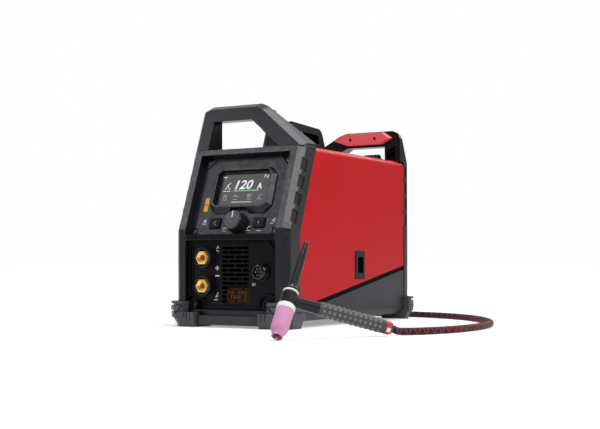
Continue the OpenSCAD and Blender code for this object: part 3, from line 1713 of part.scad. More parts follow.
// Torch cable: from the handle round the right to a coil behind the case
cable_z = cable_r + 0.1;
coil_pitch = 2 * cable_r + coil_space;
coil_outer_r = coil_inner_r + coil_turns * coil_pitch;
coil_start = [-29, rear_y + 46, cable_z];
coil_mid = [coil_start[0] - 2 * cable_r, coil_start[1] + coil_outer_r, 0];
coil_top_z = cable_z + coil_pitch;
coil_tail = 50;
cable_path = smooth(concat(
  [torch_end, torch_end + 6 * grip_dir, torch_end + 16 * grip_dir],
  [
    [346, -220, cable_z], [364, -165, cable_z], [370, -105, cable_z], [366, -45, cable_z],
    [354, 10, cable_z], [334, 62, cable_z], [306, 112, cable_z], [272, rear_y - 64, cable_z],
    [232, rear_y - 24, cable_z], [186, rear_y + 8, cable_z], [138, rear_y + 30, cable_z],
    [92, rear_y + 42, cable_z], [44, rear_y + 46, cable_z], [0, rear_y + 46, cable_z]
  ],
  [coil_start]
), 2);

// The coil winds in on the floor and out on top
coil_mid_angle = 360 * coil_turns;
function coil_climb(a) = min(1, max(0, (a - coil_mid_angle + 90) / 180));
function coil_at(a) =
  let (r = coil_inner_r + coil_pitch * abs(a - coil_mid_angle) / 360)
    coil_mid + [-r * sin(a), -r * cos(a), cable_z + coil_pitch * coil_climb(a)];
coil_path = concat(
  [coil_start],
  [for (a = [0:15:2 * coil_mid_angle]) coil_at(a)],
  [coil_mid + [-coil_tail / 2, -coil_outer_r, coil_top_z],
   coil_mid + [-coil_tail, -coil_outer_r, coil_top_z]]
);

module torch_cable() {
  color("#26262a") tube(cable_path, cable_r, 10);
}

module cable_coil() {
  color("#26262a") tube(coil_path, cable_r, 6);
}

// Plug at the cable's end: rubber sleeve with a boot, brass pin with a lug
plug_at = coil_path[len(coil_path) - 1];
boot_l = 26;
module along_plug() {
  translate(plug_at)
    rotate([0, -90, 0])
      children();
}

module plug_sleeve() {
  color("#17171a")
    along_plug()
      rotate_extrude()
        polygon([
          [0, 0], [cable_r + 2, 0], [coil_top_z - 2, boot_l], [coil_top_z - 0.2, boot_l + 2],
          [coil_top_z - 0.2, boot_l + plug_l - 3], [coil_top_z - 3, boot_l + plug_l],
          [0, boot_l + plug_l]
        ]);
}

module plug_pin() {
  color("#c9a24a")
    along_plug()
      translate([0, 0, boot_l + plug_l]) {
        rotate_extrude()
          polygon([
            [0, 0], [plug_pin_r, 0], [plug_pin_r, plug_pin_l - 1], [plug_pin_r - 1, plug_pin_l],
            [0, plug_pin_l]
          ]);
        translate([plug_pin_r - 1, -1.4, plug_pin_l - 8]) cube([2.4, 2.8, 5]);
      }
}

base_pan();
case_cover();
front_bezel();
rear_bezel();
foot_front_left();
foot_front_right();
foot_rear_left();
foot_rear_right();
front_handle();
rear_handle();
front_handle_grip();
rear_handle_grip();
case_screws();
control_panel();
display_bezel();
display_glass();
dial_knob();
dial_pointer();
encoder_shaft();
encoder_plunger();
left_button();
right_button();
control_board();
connector_panel();
socket_collars();
upper_socket();
lower_socket();
remote_receptacle();
side_slots();
top_caddy();
cable_clip();
rear_panel();
fan_frame();
fan_rotor();
power_switch_frame();
power_switch_rocker();
gas_inlet();
power_cord_gland();
heatsinks();
circuit_boards();
board_parts();
transformer_winding();
hf_coil();
bus_bars();
gas_solenoid();
gas_hose();
torch_body();
torch_grip();
torch_collar();
heat_shield();
gas_cup();
collet_body();
tungsten();
cap_seal();
back_cap();
torch_cable();
cable_coil();
plug_sleeve();
plug_pin();
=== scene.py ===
# %% [markdown]
# # A portable TIG welder and its torch
# This lesson dresses a welding machine whose solids were drawn in CAD. The solids come in as a
# fixed frame in metres: X is the machine's right, -Y its front and +Z is up. The lesson adds what
# solids don't show, which is the camera, the light, the finishes, the cable and the small fittings.

# %% Load the machine's solids
import math

import bpy
from mathutils import Matrix, Vector


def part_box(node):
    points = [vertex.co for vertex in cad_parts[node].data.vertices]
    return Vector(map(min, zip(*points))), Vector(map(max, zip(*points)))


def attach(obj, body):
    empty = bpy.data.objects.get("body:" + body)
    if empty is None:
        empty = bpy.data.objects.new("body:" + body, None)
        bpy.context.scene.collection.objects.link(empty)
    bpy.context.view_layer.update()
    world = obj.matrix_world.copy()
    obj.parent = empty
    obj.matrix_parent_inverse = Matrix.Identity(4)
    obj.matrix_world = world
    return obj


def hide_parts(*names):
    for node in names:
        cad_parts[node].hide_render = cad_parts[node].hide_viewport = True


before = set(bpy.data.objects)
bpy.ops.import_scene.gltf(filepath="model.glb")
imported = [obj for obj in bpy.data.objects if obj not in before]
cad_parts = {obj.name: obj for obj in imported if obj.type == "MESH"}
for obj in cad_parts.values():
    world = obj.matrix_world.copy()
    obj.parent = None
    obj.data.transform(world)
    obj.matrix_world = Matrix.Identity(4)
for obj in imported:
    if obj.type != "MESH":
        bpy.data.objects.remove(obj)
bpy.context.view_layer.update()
MM = 0.001

# %% [markdown]
# The camera comes first, because it decides what the picture has room for. The machine is seen
# from a low stand, turned about thirty degrees, with a short telephoto lens. The tilt upwards is
# small, so the upright edges stay nearly parallel.

# %% Camera
CAMERA_AT = (1.05134, -1.75621, 0.10512)
CAMERA_TURN = 30.898
CAMERA_TILT = 2.40
LENS = 68.87
FILM_WIDTH = 36
bpy.ops.object.camera_add(
    location=CAMERA_AT,
    rotation=(math.radians(90 + CAMERA_TILT), 0, math.radians(CAMERA_TURN)),
)
camera = bpy.context.object
camera.name = "product_camera"
camera.data.lens = LENS
camera.data.sensor_width = FILM_WIDTH
bpy.context.scene.camera = camera
print("camera at", [round(v, 3) for v in camera.location], "lens", LENS)

# %% [markdown]
# Sizes are written in millimetres. Three helpers make places, shifts and turns of them. Two more
# give a place on the leaning upper panel and on the upright panel with the sockets.

# %% Helpers for places
PANEL_LEAN = 20
PANEL_FOOT_Y = -222
PANEL_FOOT_Z = 160
PANEL_FACE = 13.97
SOCKET_FACE = -212.03


def mm(x, y, z):
    """A place in millimetres, as a vector in metres."""
    return Vector((x, y, z)) * MM


def shift(x, y, z):
    """A shift in millimetres."""
    return Matrix.Translation(mm(x, y, z))


def turn(degrees, axis):
    """A turn about one of the axes."""
    return Matrix.Rotation(math.radians(degrees), 4, axis)


def on_control_panel(x, up, deep=PANEL_FACE):
    """A place on the leaning panel: x sideways, up its face and deep into the case."""
    lean_back = math.radians(PANEL_LEAN)
    y = PANEL_FOOT_Y + up * math.sin(lean_back) + deep * math.cos(lean_back)
    z = PANEL_FOOT_Z + up * math.cos(lean_back) - deep * math.sin(lean_back)
    return shift(x, y, z) @ turn(90 - PANEL_LEAN, "X")


def on_connector_panel(x, z, y=SOCKET_FACE):
    """A place on the upright front panel."""
    return shift(x, y, z) @ turn(90, "X")


facing_back = turn(180, "Z") @ turn(90, "X")
print("the leaning panel starts at", [round(v, 4) for v in on_control_panel(0, 0).translation])

# %% [markdown]
# New fittings are modelled with operators, as one would by hand. These helpers take up a piece or
# start one from a simple shape, choose faces or edges by a rule about their place, and pull them.


# %% Helpers for modelling by hand
def let_go():
    """Leaves edit mode, with nothing selected."""
    if bpy.context.mode != "OBJECT":
        bpy.ops.object.mode_set(mode="OBJECT")
    bpy.ops.object.select_all(action="DESELECT")


def take_up(piece):
    """Selects one piece alone and makes it the active one."""
    let_go()
    piece.select_set(True)
    bpy.context.view_layer.objects.active = piece


def choose(piece, kind, rule):
    """Selects the faces or edges that pass a rule, for a piece in edit mode."""
    bpy.ops.mesh.select_mode(type=kind)
    bpy.ops.mesh.select_all(action="DESELECT")
    bpy.ops.object.mode_set(mode="OBJECT")
    mesh = piece.data
    if kind == "FACE":
        for face in mesh.polygons:
            face.select = rule(face.center, face.normal)
    else:
        for edge in mesh.edges:
            a, b = (mesh.vertices[v].co for v in edge.vertices)
            edge.select = rule((a + b) / 2, (b - a).normalized())
    bpy.ops.object.mode_set(mode="EDIT")


def edit_all():
    """Enters edit mode with all of the active piece selected."""
    bpy.ops.object.mode_set(mode="EDIT")
    bpy.ops.mesh.select_all(action="SELECT")


def start(add, name, **shape):
    """A new simple shape with a name, in edit mode and all selected."""
    let_go()
    add(location=(0, 0, 0), **shape)
    piece = bpy.context.object
    piece.name = name
    edit_all()
    return piece


def pull(high):
    """Extrudes what is selected, up or down, in millimetres."""
    bpy.ops.mesh.extrude_region_move(TRANSFORM_OT_translate={"value": (0, 0, high * MM)})


def soften(size, segments, kind="EDGES"):
    """Bevels what is selected, by a size in millimetres."""
    bpy.ops.mesh.bevel(offset=size * MM, segments=segments, affect=kind)


def open_up(piece, rule):
    """Takes the faces that pass a rule out of a piece in edit mode."""
    choose(piece, "FACE", rule)
    bpy.ops.mesh.delete(type="ONLY_FACE")


def face_outwards():
    """Turns every face outwards, and leaves edit mode."""
    bpy.ops.mesh.select_all(action="SELECT")
    bpy.ops.mesh.normals_make_consistent(inside=False)
    bpy.ops.object.mode_set(mode="OBJECT")


def smooth(degrees):
    """Shades the active piece smooth, apart from edges sharper than an angle."""
    bpy.ops.object.shade_smooth_by_angle(angle=math.radians(degrees))


print("helpers for modelling are ready")

# %% [markdown]
# A finished piece is settled in its place, with that place kept in its mesh, or copied to many
# places. `keep` then hands it to the body that it moves with and notes its finish for later.

# %% Helpers for finished pieces
kept = []


def settle(piece, place):
    """Puts a piece modelled at the origin in its place, and the place into its mesh."""
    take_up(piece)
    piece.matrix_world = place
    bpy.ops.object.transform_apply(location=True, rotation=True, scale=True)


def copies_at(piece, name, places):
    """Copies a piece to many places and joins the copies."""
    let_go()
    made = []
    for place in places:
        twin = piece.copy()
        twin.data = piece.data.copy()
        bpy.context.collection.objects.link(twin)
        twin.data.transform(place)
        made.append(twin)
        twin.select_set(True)
    bpy.data.objects.remove(piece)
    bpy.context.view_layer.objects.active = made[0]
    bpy.ops.object.join()
    made[0].name = name
    return made[0]


def keep(piece, finish, body="machine"):
    """Lets a piece ride on a body, and notes the finish that it will get."""
    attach(piece, body)
    kept.append((piece, finish))
    print(piece.name, "rides", body, "with", len(piece.data.polygons), "faces")


print("helpers for finished pieces are ready")

# %% [markdown]
# The torch cable is a fixed length of braided hose. It leaves the torch's handle, runs along the
# floor past the machine's right side and ends behind it in a neat coil with its plug beside it. One
# smooth curve through a few chosen points gives the free part, and a spiral of two layers gives
# the coil. The same points were used for the solids, so the cable lies where they are.

# %% The torch's place
HEAD_X, HEAD_Y = 224, -405
HEAD_DROP = 63
HEAD_LEAN = 49
NOSE_R = 8.2
GRIP_R = 9.8
TORCH_L = 168
TORCH_TURN = 56
FLOOR_ROOM = 0.3
GRIP_ROOM = 0.5
lean = math.radians(HEAD_LEAN)
head_z = HEAD_DROP * math.sin(lean) + NOSE_R * math.cos(lean) + FLOOR_ROOM
dip = math.asin((head_z - GRIP_R - GRIP_ROOM) / TORCH_L)
head_frame = shift(HEAD_X, HEAD_Y, head_z)
torch_frame = head_frame @ turn(TORCH_TURN, "Z") @ turn(90 + math.degrees(dip), "Y")
torch_end = torch_frame @ mm(0, 0, TORCH_L)
print("torch from", list(head_frame.translation), "to", list(torch_end))


# %% The cable's route
def smooth_curve(points, steps=6):
    """Points of a smooth curve that passes through every chosen point."""
    curve = []
    last = len(points) - 1
    for i in range(last):
        a, b, c, d = (points[min(max(k, 0), last)] for k in (i - 1, i, i + 1, i + 2))
        for j in range(steps):
            t = j / steps
            curve.append(
                0.5 * (2 * b + (c - a) * t + (2 * a - 5 * b + 4 * c - d) * t * t
                       + (3 * b - a - 3 * c + d) * t * t * t)
            )
    curve.append(points[-1])
    return curve


CABLE_R = 5.5
ON_FLOOR = 5.6
PLUG_Y, PLUG_Z = 268, 17.5
floor_run = [
    (346, -220), (364, -165), (370, -105), (366, -45), (354, 10), (334, 62), (306, 112),
    (272, 158), (232, 198), (186, 230), (138, 252), (92, 264), (44, 268), (0, 268), (-29, 268),
]
run = (torch_end - head_frame.translation).normalized()
cable_points = [torch_end + out * MM * run for out in (0, 6, 16)]
cable_points += [mm(x, y, ON_FLOOR) for x, y in floor_run]
cable_route = smooth_curve(cable_points)

COIL_PITCH = 11.9
COIL_IN = 44
COIL_MID = 1260
COIL_X, COIL_Y = -40, 353.65
for angle in range(0, 2 * COIL_MID + 1, 6):
    radius = COIL_IN + COIL_PITCH * abs(angle - COIL_MID) / 360
    climb = COIL_PITCH * min(1, max(0, (angle - COIL_MID + 90) / 180))
    a = math.radians(angle)
    x, y = COIL_X - radius * math.sin(a), COIL_Y - radius * math.cos(a)
    cable_route.append(mm(x, y, ON_FLOOR + climb))
cable_route += [mm(x, PLUG_Y, PLUG_Z) for x in (-52.5, -65, -77.5, -90)]
cable_length = sum((b - a).length for a, b in zip(cable_route, cable_route[1:]))
print("cable length", round(cable_length, 3), "m in", len(cable_route), "points")

# %% [markdown]
# A cord's skin is a ring of points swept along its route. The rings are carried forward without
# twisting, so a pattern that follows the cable stays straight. Each point also gets a place on
# the skin, once round by once along, and the braid and its red tracer are drawn from that.


# %% A skin along a route
def skin_along(name, route, radius, sides):
    """A closed tube round a route, with a map of round (0 to 1) by along (0 to 1)."""
    count = len(route)
    ways = [
        (route[min(i + 1, count - 1)] - route[max(i - 1, 0)]).normalized() for i in range(count)
    ]
    side = ways[0].cross(Vector((0, 0, 1)))
    if side.length < 0.01:
        side = ways[0].cross(Vector((1, 0, 0)))
    verts, far = [], [0.0]
    for i, way in enumerate(ways):
        side = (side - way * side.dot(way)).normalized()
        up = side.cross(way)
        for k in range(sides):
            angle = 2 * math.pi * k / sides
            verts.append(route[i] + radius * MM * (math.cos(angle) * side + math.sin(angle) * up))
        if i:
            far.append(far[-1] + (route[i] - route[i - 1]).length)
    cells = [(i, k) for i in range(count - 1) for k in range(sides)]
    corners = ((0, 0), (1, 0), (1, 1), (0, 1))
    faces = [[(i + di) * sides + (k + dk) % sides for di, dk in corners] for i, k in cells]
    faces += [list(range(sides)), list(reversed(range((count - 1) * sides, count * sides)))]
    mesh = bpy.data.meshes.new(name)
    mesh.from_pydata(verts, [], faces)
    around = mesh.uv_layers.new(name="along_cord")
    for cell, (i, k) in enumerate(cells):
        start = mesh.polygons[cell].loop_start
        for n, (di, dk) in enumerate(corners):
            around.data[start + n].uv = ((k + dk) / sides, far[i + di] / far[-1])
    tube = bpy.data.objects.new(name, mesh)
    bpy.context.collection.objects.link(tube)
    take_up(tube)
    edit_all()
    face_outwards()
    smooth(50)
    return tube


cable = skin_along("torch_cable_braid", cable_route, CABLE_R, 18)
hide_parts("torch_cable", "cable_coil")
keep(cable, "cable_braid")

# %% [markdown]
# Two more round runs are inside the case: the copper coil that starts the arc, which glints
# through the lower louvre, and the blue gas hose. Both are swept in the same way, so they are
# truly round where the solids are coarse.

# %% Copper coil and gas hose
WIRE_R = 2.6
HOSE_R = 4
WIND_R = 13
WIND_PITCH = 7
WIND_TURNS = 5.5
WIND_X, WIND_Y, WIND_Z = -20, -160, 48.1
coil_route = [mm(-39.25, -147, z) for z in (25.2, 30.3, 40)]
for angle in range(0, int(360 * WIND_TURNS) + 1, 10):
    a = math.radians(angle)
    x = WIND_X + WIND_PITCH * (angle / 360 - WIND_TURNS / 2)
    coil_route.append(mm(x, WIND_Y + WIND_R * math.cos(a), WIND_Z + WIND_R * math.sin(a)))
coil_route += [mm(-0.75, -173, z) for z in (40, 30.3, 25.2)]
copper_coil = skin_along("arc_start_coil", coil_route, WIRE_R, 12)
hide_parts("hf_coil")
keep(copper_coil, "copper")

hose_points = [
    (64, 157, 170), (64, 149, 170), (64, 137, 170), (77, 80, 174), (87, 0, 160), (85, -80, 100),
    (53, -122, 74.5), (20, -130, 70.5), (-12, -130, 70.5), (-37, -130, 70.5),
]
hose = skin_along("gas_hose_run", smooth_curve([mm(*p) for p in hose_points]), HOSE_R, 16)
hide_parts("gas_hose")
keep(hose, "hose_blue")

# %% [markdown]
# The coil is held by a strap of webbing. It starts as a box round one side of the coil, loses the
# two ends that the cable passes through, and gets its thickness from a Solidify modifier and soft
# rims from a bevel.

# %% Strap round the coil
STRAP_SIZE = (24, 36.4, 23.4)
STRAP_OFF = 67.8
STRAP_MIDDLE = 12.7
STRAP_CORNER, STRAP_THICK, STRAP_RIM = 5, 0.9, 0.3
strap = start(bpy.ops.mesh.primitive_cube_add, "coil_strap", size=MM)
bpy.ops.transform.resize(value=STRAP_SIZE)
open_up(strap, lambda at, out: abs(out.x) > 0.9)
choose(strap, "EDGE", lambda at, way: abs(way.x) > 0.9)
soften(STRAP_CORNER, 5)
bpy.ops.object.mode_set(mode="OBJECT")
wall = strap.modifiers.new("webbing", "SOLIDIFY")
wall.thickness = STRAP_THICK * MM
wall.offset = 1
bpy.ops.object.modifier_apply(modifier="webbing")
rim = strap.modifiers.new("soft rim", "BEVEL")
rim.width = STRAP_RIM * MM
rim.segments = 2
bpy.ops.object.modifier_apply(modifier="soft rim")
settle(strap, shift(COIL_X, COIL_Y + STRAP_OFF, STRAP_MIDDLE))
smooth(40)
keep(strap, "strap_webbing")

# %% [markdown]
# More helpers, for prints. `strokes` lays flat bars and raises them a little, as a thick print
# stands on plastic. `lettering` does the same with characters, fitted to a measured box.

# %% Helpers for prints
PRINT = 0.14


def raise_print():
    """Gives a flat mark its thickness and faces that look outwards."""
    edit_all()
    pull(PRINT)
    face_outwards()


def strokes(name, lines, width, place, finish, body="machine"):
    """A print of straight strokes, each from one point to another in millimetres."""
    mark = start(bpy.ops.mesh.primitive_plane_add, name, size=MM)
    bpy.ops.mesh.delete(type="VERT")
    for x1, y1, x2, y2 in lines:
        middle = ((x1 + x2) / 2 * MM, (y1 + y2) / 2 * MM, 0)
        slope = math.atan2(y2 - y1, x2 - x1)
        bpy.ops.mesh.primitive_plane_add(size=MM, location=middle)
        bpy.ops.transform.resize(value=(math.hypot(x2 - x1, y2 - y1) + width, width, 1))
        bpy.ops.transform.rotate(value=-slope, orient_axis="Z", center_override=middle)
    raise_print()
    settle(mark, place)
    keep(mark, finish, body)


def lettering(name, words, left, low, wide, high, slant, bold):
    """Lit characters on the screen, fitted to a box in millimetres."""
    let_go()
    bpy.ops.object.text_add(location=(0, 0, 0))
    text = bpy.context.object.data
    text.body = words
    text.shear = slant
    text.offset = bold
    text.resolution_u = 5
    bpy.ops.object.convert(target="MESH")
    piece = bpy.context.object
    piece.name = name
    xs = [v.co.x for v in piece.data.vertices]
    ys = [v.co.y for v in piece.data.vertices]
    wider, higher = wide * MM / (max(xs) - min(xs)), high * MM / (max(ys) - min(ys))
    fit = Matrix.Diagonal((wider, higher, 1, 1)) @ Matrix.Translation((-min(xs), -min(ys), 0))
    piece.data.transform(shift(left, low, 0) @ fit)
    raise_print()
    settle(piece, on_control_panel(0, 0))
    keep(piece, "lit_white")


print("print height", PRINT, "mm")

# %% [markdown]
# `plate` cuts a plate with round corners and raises or insets its face step by step. `turned` pulls
# a round piece out of one circle, ring by ring, the way a lathe would. A hollow one loses its two
# ends and is bridged inside, which makes it a ring.


# %% Helpers for plates and turned pieces
def plate(name, wide, high, corner, *steps):
    """A plate with round corners; each step insets or raises its face, in millimetres."""
    piece = start(bpy.ops.mesh.primitive_plane_add, name, size=MM)
    bpy.ops.transform.resize(value=(wide, high, 1))
    soften(corner, 3, "VERTICES")
    for step, size in steps:
        if step == "inset":
            bpy.ops.mesh.inset(thickness=size * MM)
        else:
            pull(size)
    return piece


def turned(name, steps, sides, hollow=False):
    """A round piece from its steps of radius and height, in millimetres."""
    first_r, first_z = steps[0]
    disc = dict(vertices=sides, radius=first_r * MM, fill_type="NGON")
    piece = start(bpy.ops.mesh.primitive_circle_add, name, **disc)
    bpy.ops.transform.translate(value=(0, 0, first_z * MM))
    for (r1, z1), (r2, z2) in zip(steps, steps[1:]):
        pull(z2 - z1)
        bpy.ops.transform.resize(value=(r2 / r1, r2 / r1, 1))
    if hollow:
        open_up(piece, lambda at, out: abs(out.z) > 0.9 and at.xy.length < 0.1 * MM)
        bridge_openings()
    face_outwards()
    smooth(35)
    return piece


def bridge_openings():
    """Joins the two open rims of the piece in edit mode."""
    bpy.ops.mesh.select_mode(type="EDGE")
    bpy.ops.mesh.select_non_manifold(extend=False)
    bpy.ops.mesh.bridge_edge_loops()


print("helpers for plates and turned pieces are ready")

# %% [markdown]
# The panels and grips are held by socket-head screws. One head is modelled: a short cylinder loses
# its top, a six-sided ring is set in the opening and filled out to the rim, and the ring is pulled
# down and closed to make the socket. A small bevel rounds the rim. The head is then copied to the
# ten places, a little smaller on the grips.

# %% Socket-head screws
HEAD_R = 4
HEAD_TOP = 1.2
HEAD_RIM = 0.45
KEY_R = 2.1
KEY_DEEP = 1.6
NEAR_TOP = (HEAD_TOP - 0.01) * MM
blank = dict(vertices=24, radius=HEAD_R * MM, depth=2 * HEAD_TOP * MM)
screw = start(bpy.ops.mesh.primitive_cylinder_add, "screw", **blank)
open_up(screw, lambda at, out: out.z > 0.9)
bpy.ops.mesh.primitive_circle_add(vertices=6, radius=KEY_R * MM, location=(0, 0, HEAD_TOP * MM))
choose(screw, "EDGE", lambda at, way: at.z > NEAR_TOP)
bpy.ops.mesh.fill()
choose(screw, "EDGE", lambda at, way: at.z > NEAR_TOP and at.xy.length < 2.0 * MM)
pull(-KEY_DEEP)
bpy.ops.mesh.edge_face_add()
choose(screw, "EDGE", lambda at, way: at.z > NEAR_TOP and at.xy.length > 3.8 * MM)
soften(HEAD_RIM, 2)
face_outwards()
smooth(35)
small = Matrix.Scale(0.95, 4)
places = [on_connector_panel(x, 37, -218.8) for x in (-71, 71)]
places += [on_control_panel(x, up, 14.6) for x in (-79, 79) for up in (1, 125)]
places += [shift(x, -125.68, 360.5) @ turn(-90, "X") @ small for x in (-60, -8)]
places += [on_connector_panel(x, 339.5, 177.38) @ small for x in (60, 8)]
screws = copies_at(screw, "socket_head_screws", places)
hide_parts("case_screws")
keep(screws, "dark_steel")

# %% [markdown]
# The torch's handle has rows of low rubber studs for grip. A stud is a small block whose top is
# drawn in and softened. Eight rows of twelve stand round the handle.

# %% Studs on the torch handle
ROWS, ROW_TURN = 8, 12
STUDS, FIRST_STUD, STUD_STEP = 12, 53, 8.3
stud = start(bpy.ops.mesh.primitive_cube_add, "stud", size=MM)
bpy.ops.transform.resize(value=(1.4, 4.6, 5.0))
choose(stud, "FACE", lambda at, out: out.x > 0.9)
bpy.ops.transform.resize(value=(1, 0.62, 0.68))
soften(0.35, 2)
bpy.ops.object.mode_set(mode="OBJECT")
smooth(40)
along_grip = [FIRST_STUD + STUD_STEP * k for k in range(STUDS)]
rows = [torch_frame @ turn(360 / ROWS * row + ROW_TURN, "Z") for row in range(ROWS)]
places = [row @ shift(GRIP_R, 0, z) for row in rows for z in along_grip]
studs = copies_at(stud, "grip_studs", places)
keep(studs, "stud_rubber")

# %% [markdown]
# The gas cup is fired ceramic: a thick tube whose shoulder rounds into a short nose. The solid has
# that shoulder in one straight step, so a turned cup with the full curve stands for it. A small
# pale tag with a raised rim sits on the red collar where the cable leaves the handle.

# %% Gas cup and collar tag
CUP_TURN = 99.5
COLLAR_Z, COLLAR_R, TAG_TURN = 159, 9.55, -68
steps = [(6.2, 10), (6.2, 0.4), (6.6, 0), (7.8, 0), (8.2, 0.5), (8.2, 3.4), (8.5, 4.6)]
steps += [(9.3, 6.2), (10.5, 8.2), (11.5, 10.2), (12.2, 12.4), (12.5, 15), (12.5, 43.2)]
steps += [(11.9, 44), (8.0, 44), (8.0, 18)]
cup = turned("ceramic_gas_cup", steps, 40, hollow=True)
cup_axis = head_frame @ turn(CUP_TURN, "Z") @ turn(90 - HEAD_LEAN, "Y")
settle(cup, cup_axis @ shift(0, 0, -HEAD_DROP))
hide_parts("gas_cup")
keep(cup, "pink_ceramic")
collar_tag = plate("collar_tag", 6.4, 6.4, 0.8, ("raise", 0.9), ("inset", 0.9), ("raise", -0.3))
face_outwards()
outwards = turn(TAG_TURN, "Z") @ turn(90, "Y")
settle(collar_tag, torch_frame @ shift(0, 0, COLLAR_Z) @ outwards @ shift(0, 0, COLLAR_R))
keep(collar_tag, "white_plastic")

# %% [markdown]
# The screen shows the set current in large slanted digits over a green level line, with a row of
# small symbols below. The digits are a number of our own. Lit marks lie just above the glass.

# %% Marks on the screen
on_panel = on_control_panel(0, 0)
lettering("screen_digits", "120", -16, 75.4, 34.4, 16.2, slant=0.22, bold=0.018)
lettering("screen_unit", "A", 27.6, 75.2, 9.2, 11, slant=0.0, bold=0.02)
torch_mark = [(-35, 76, -31, 84), (-31, 84, -26, 87), (-31, 84, -29.5, 79.5)]
torch_mark += [(-29.5, 79.5, -25.5, 76), (-38, 72.6, -34, 72.6), (-31, 72.6, -25, 72.6)]
corner_marks = [(-43, 98.4, -39, 98.4), (-38.6, 96.4, -36.6, 98.4), (38.8, 99.4, 41, 99.4)]
corner_marks += [(43, 95.2, 45, 95.2), (38.8, 99.4, 38.8, 95.8), (45, 95.2, 45, 98.8)]
row_marks = [(-35, 60, -35, 65.5), (-35, 65.5, -30, 65.5), (-30, 65.5, -30, 60)]
row_marks += [(-33, 62.4, -32, 62.4), (-15, 61.5, -12.5, 65.5), (-12.5, 65.5, -9, 61)]
row_marks += [(-9, 61, -7, 63.5), (12, 60.5, 12, 65.5), (14.5, 60.5, 14.5, 65.5)]
row_marks += [(17, 60.5, 17, 65.5), (12, 65.5, 20, 65.5), (33.5, 60, 38, 66)]
row_marks += [(38, 66, 39.5, 64.8), (35, 60, 36.5, 60)]
row_marks += [(x - 4, 57.2, x + 4, 57.2) for x in (-32, -11, 15, 36)]
foot_dashes = [(x, 52.6, x + 1.4, 52.6) for x in range(-17, 21, 3)]
for name, lines, width, finish in (
    ("screen_level_line", [(-17, 72.9, 31, 72.9)], 1.9, "lit_green"),
    ("screen_white_symbols", torch_mark + corner_marks, 1.1, "lit_white"),
    ("screen_blue_symbols", row_marks, 0.9, "lit_blue"),
    ("screen_foot_line", foot_dashes, 1.0, "lit_white"),
):
    strokes(name, lines, width, on_panel, finish)

# %% [markdown]
# Prints on the leaning panel: a menu sign, a triangle and two dial signs in pale ink, each with a
# short bar where a word would stand, and a plain amber tag. A print is a thin layer of ink, so it
# is raised by little more than a tenth of a millimetre.

# %% Prints on the control panel
BUTTON_FACE = 11.58
signs = [(-64.6, y, -60, y) for y in (21.4, 19.6, 17.8)] + [(-66.4, 14.6, -58.2, 14.6)]
signs += [(69.4, 19.2, 74.6, 22.4), (69.4, 19.2, 74.6, 16.4), (74.6, 16.4, 74.6, 22.4)]
signs += [(67, 13.8, 72.6, 13.8), (-22.5, 5.2, -19, 8.8), (-19, 8.8, -17, 6.4)]
signs += [(-23.5, 1.8, -16.6, 1.8), (24.6, 5.2, 27.4, 8.6), (27.4, 8.6, 29.6, 9.6)]
signs += [(23.4, 1.8, 30.4, 1.8), (44, 1.2, 52, 1.2)]
strokes("panel_signs", signs, 1.1, on_panel, "pale_ink")
tag = plate("amber_tag", 8.2, 11.8, 1.2)
raise_print()
tags = copies_at(tag, "amber_tags", [on_control_panel(-66, up) for up in (55.6, 42.8)])
keep(tags, "amber_ink")
on_button = on_control_panel(0, 0, BUTTON_FACE)
for x, body in ((-40, "left_button"), (46, "right_button")):
    arrow = [(x - 2, 15, x + 1.8, 18.2), (x - 2, 15, x + 1.8, 11.8)]
    strokes(body + "_arrow", arrow, 1.0, on_button, "grey_ink", body=body)

# %% [markdown]
# Prints beside the weld sockets: a plus and a minus for the two poles, and two small signs.

# %% Prints on the connector panel
on_front = on_connector_panel(0, 0)
poles = [(-33.2, 96.2, -27.4, 96.2), (-30.3, 93.2, -30.3, 99.2), (-33.2, 83.6, -27.4, 83.6)]
strokes("pole_signs", poles, 2.0, on_front, "pale_ink")
fine = [(-31.6, 127.6, -29.4, 132.2), (-29.4, 132.2, -27.6, 129), (-32, 124.6, -28.4, 124.6)]
fine += [(-28.4, 124.6, -28.4, 123), (-33.4, 48.6, -30.6, 53.4), (-30.6, 53.4, -29, 56)]
fine += [(-30.6, 49.2, -28.6, 51.4), (-36.8, 44.6, -29.8, 44.6)]
strokes("socket_signs", fine, 1.3, on_front, "pale_ink")

# %% [markdown]
# A black rubber seal lies on the crossbar between the two panels. It is a flat strip with a shallow
# channel: a plate is thickened, inset, and its middle pushed back.

# %% Seal on the crossbar
seal = plate("crossbar_seal", 170, 8.4, 1.2, ("raise", 0.9), ("inset", 1.3), ("raise", -0.6))
face_outwards()
settle(seal, on_connector_panel(0, 147.2, -221.98))
keep(seal, "black_matt")

# %% [markdown]
# The weld sockets are hexagonal brass with a wide, tapered mouth that leads the plug in. The mouth
# is a six-sided block with a chamfered rim. It loses both ends, gets a large ring in front and a
# small one behind, each end is filled up to its ring, and the two rings are bridged into a taper.

# %% Tapered mouths of the weld sockets
MOUTH_L, MOUTH_R, MOUTH_WIDE, MOUTH_NARROW = 2.6, 12.1, 8.6, 4.65
blank = dict(vertices=6, radius=MOUTH_R * MM, depth=MOUTH_L * MM)
mouth = start(bpy.ops.mesh.primitive_cylinder_add, "mouth", **blank)
bpy.ops.transform.translate(value=(0, 0, MOUTH_L / 2 * MM))
bpy.ops.transform.rotate(value=math.radians(30), orient_axis="Z", center_override=(0, 0, 0))
choose(mouth, "EDGE", lambda at, way: at.z > (MOUTH_L - 0.01) * MM)
soften(0.8, 2)
open_up(mouth, lambda at, out: abs(out.z) > 0.99)
for high, radius in ((MOUTH_L, MOUTH_WIDE), (0, MOUTH_NARROW)):
    bpy.ops.mesh.primitive_circle_add(vertices=24, radius=radius * MM, location=(0, 0, high * MM))
    choose(mouth, "EDGE", lambda at, way: abs(at.z - high * MM) < 0.01 * MM)
    bpy.ops.mesh.fill()
bridge_openings()
face_outwards()
smooth(25)
places = []
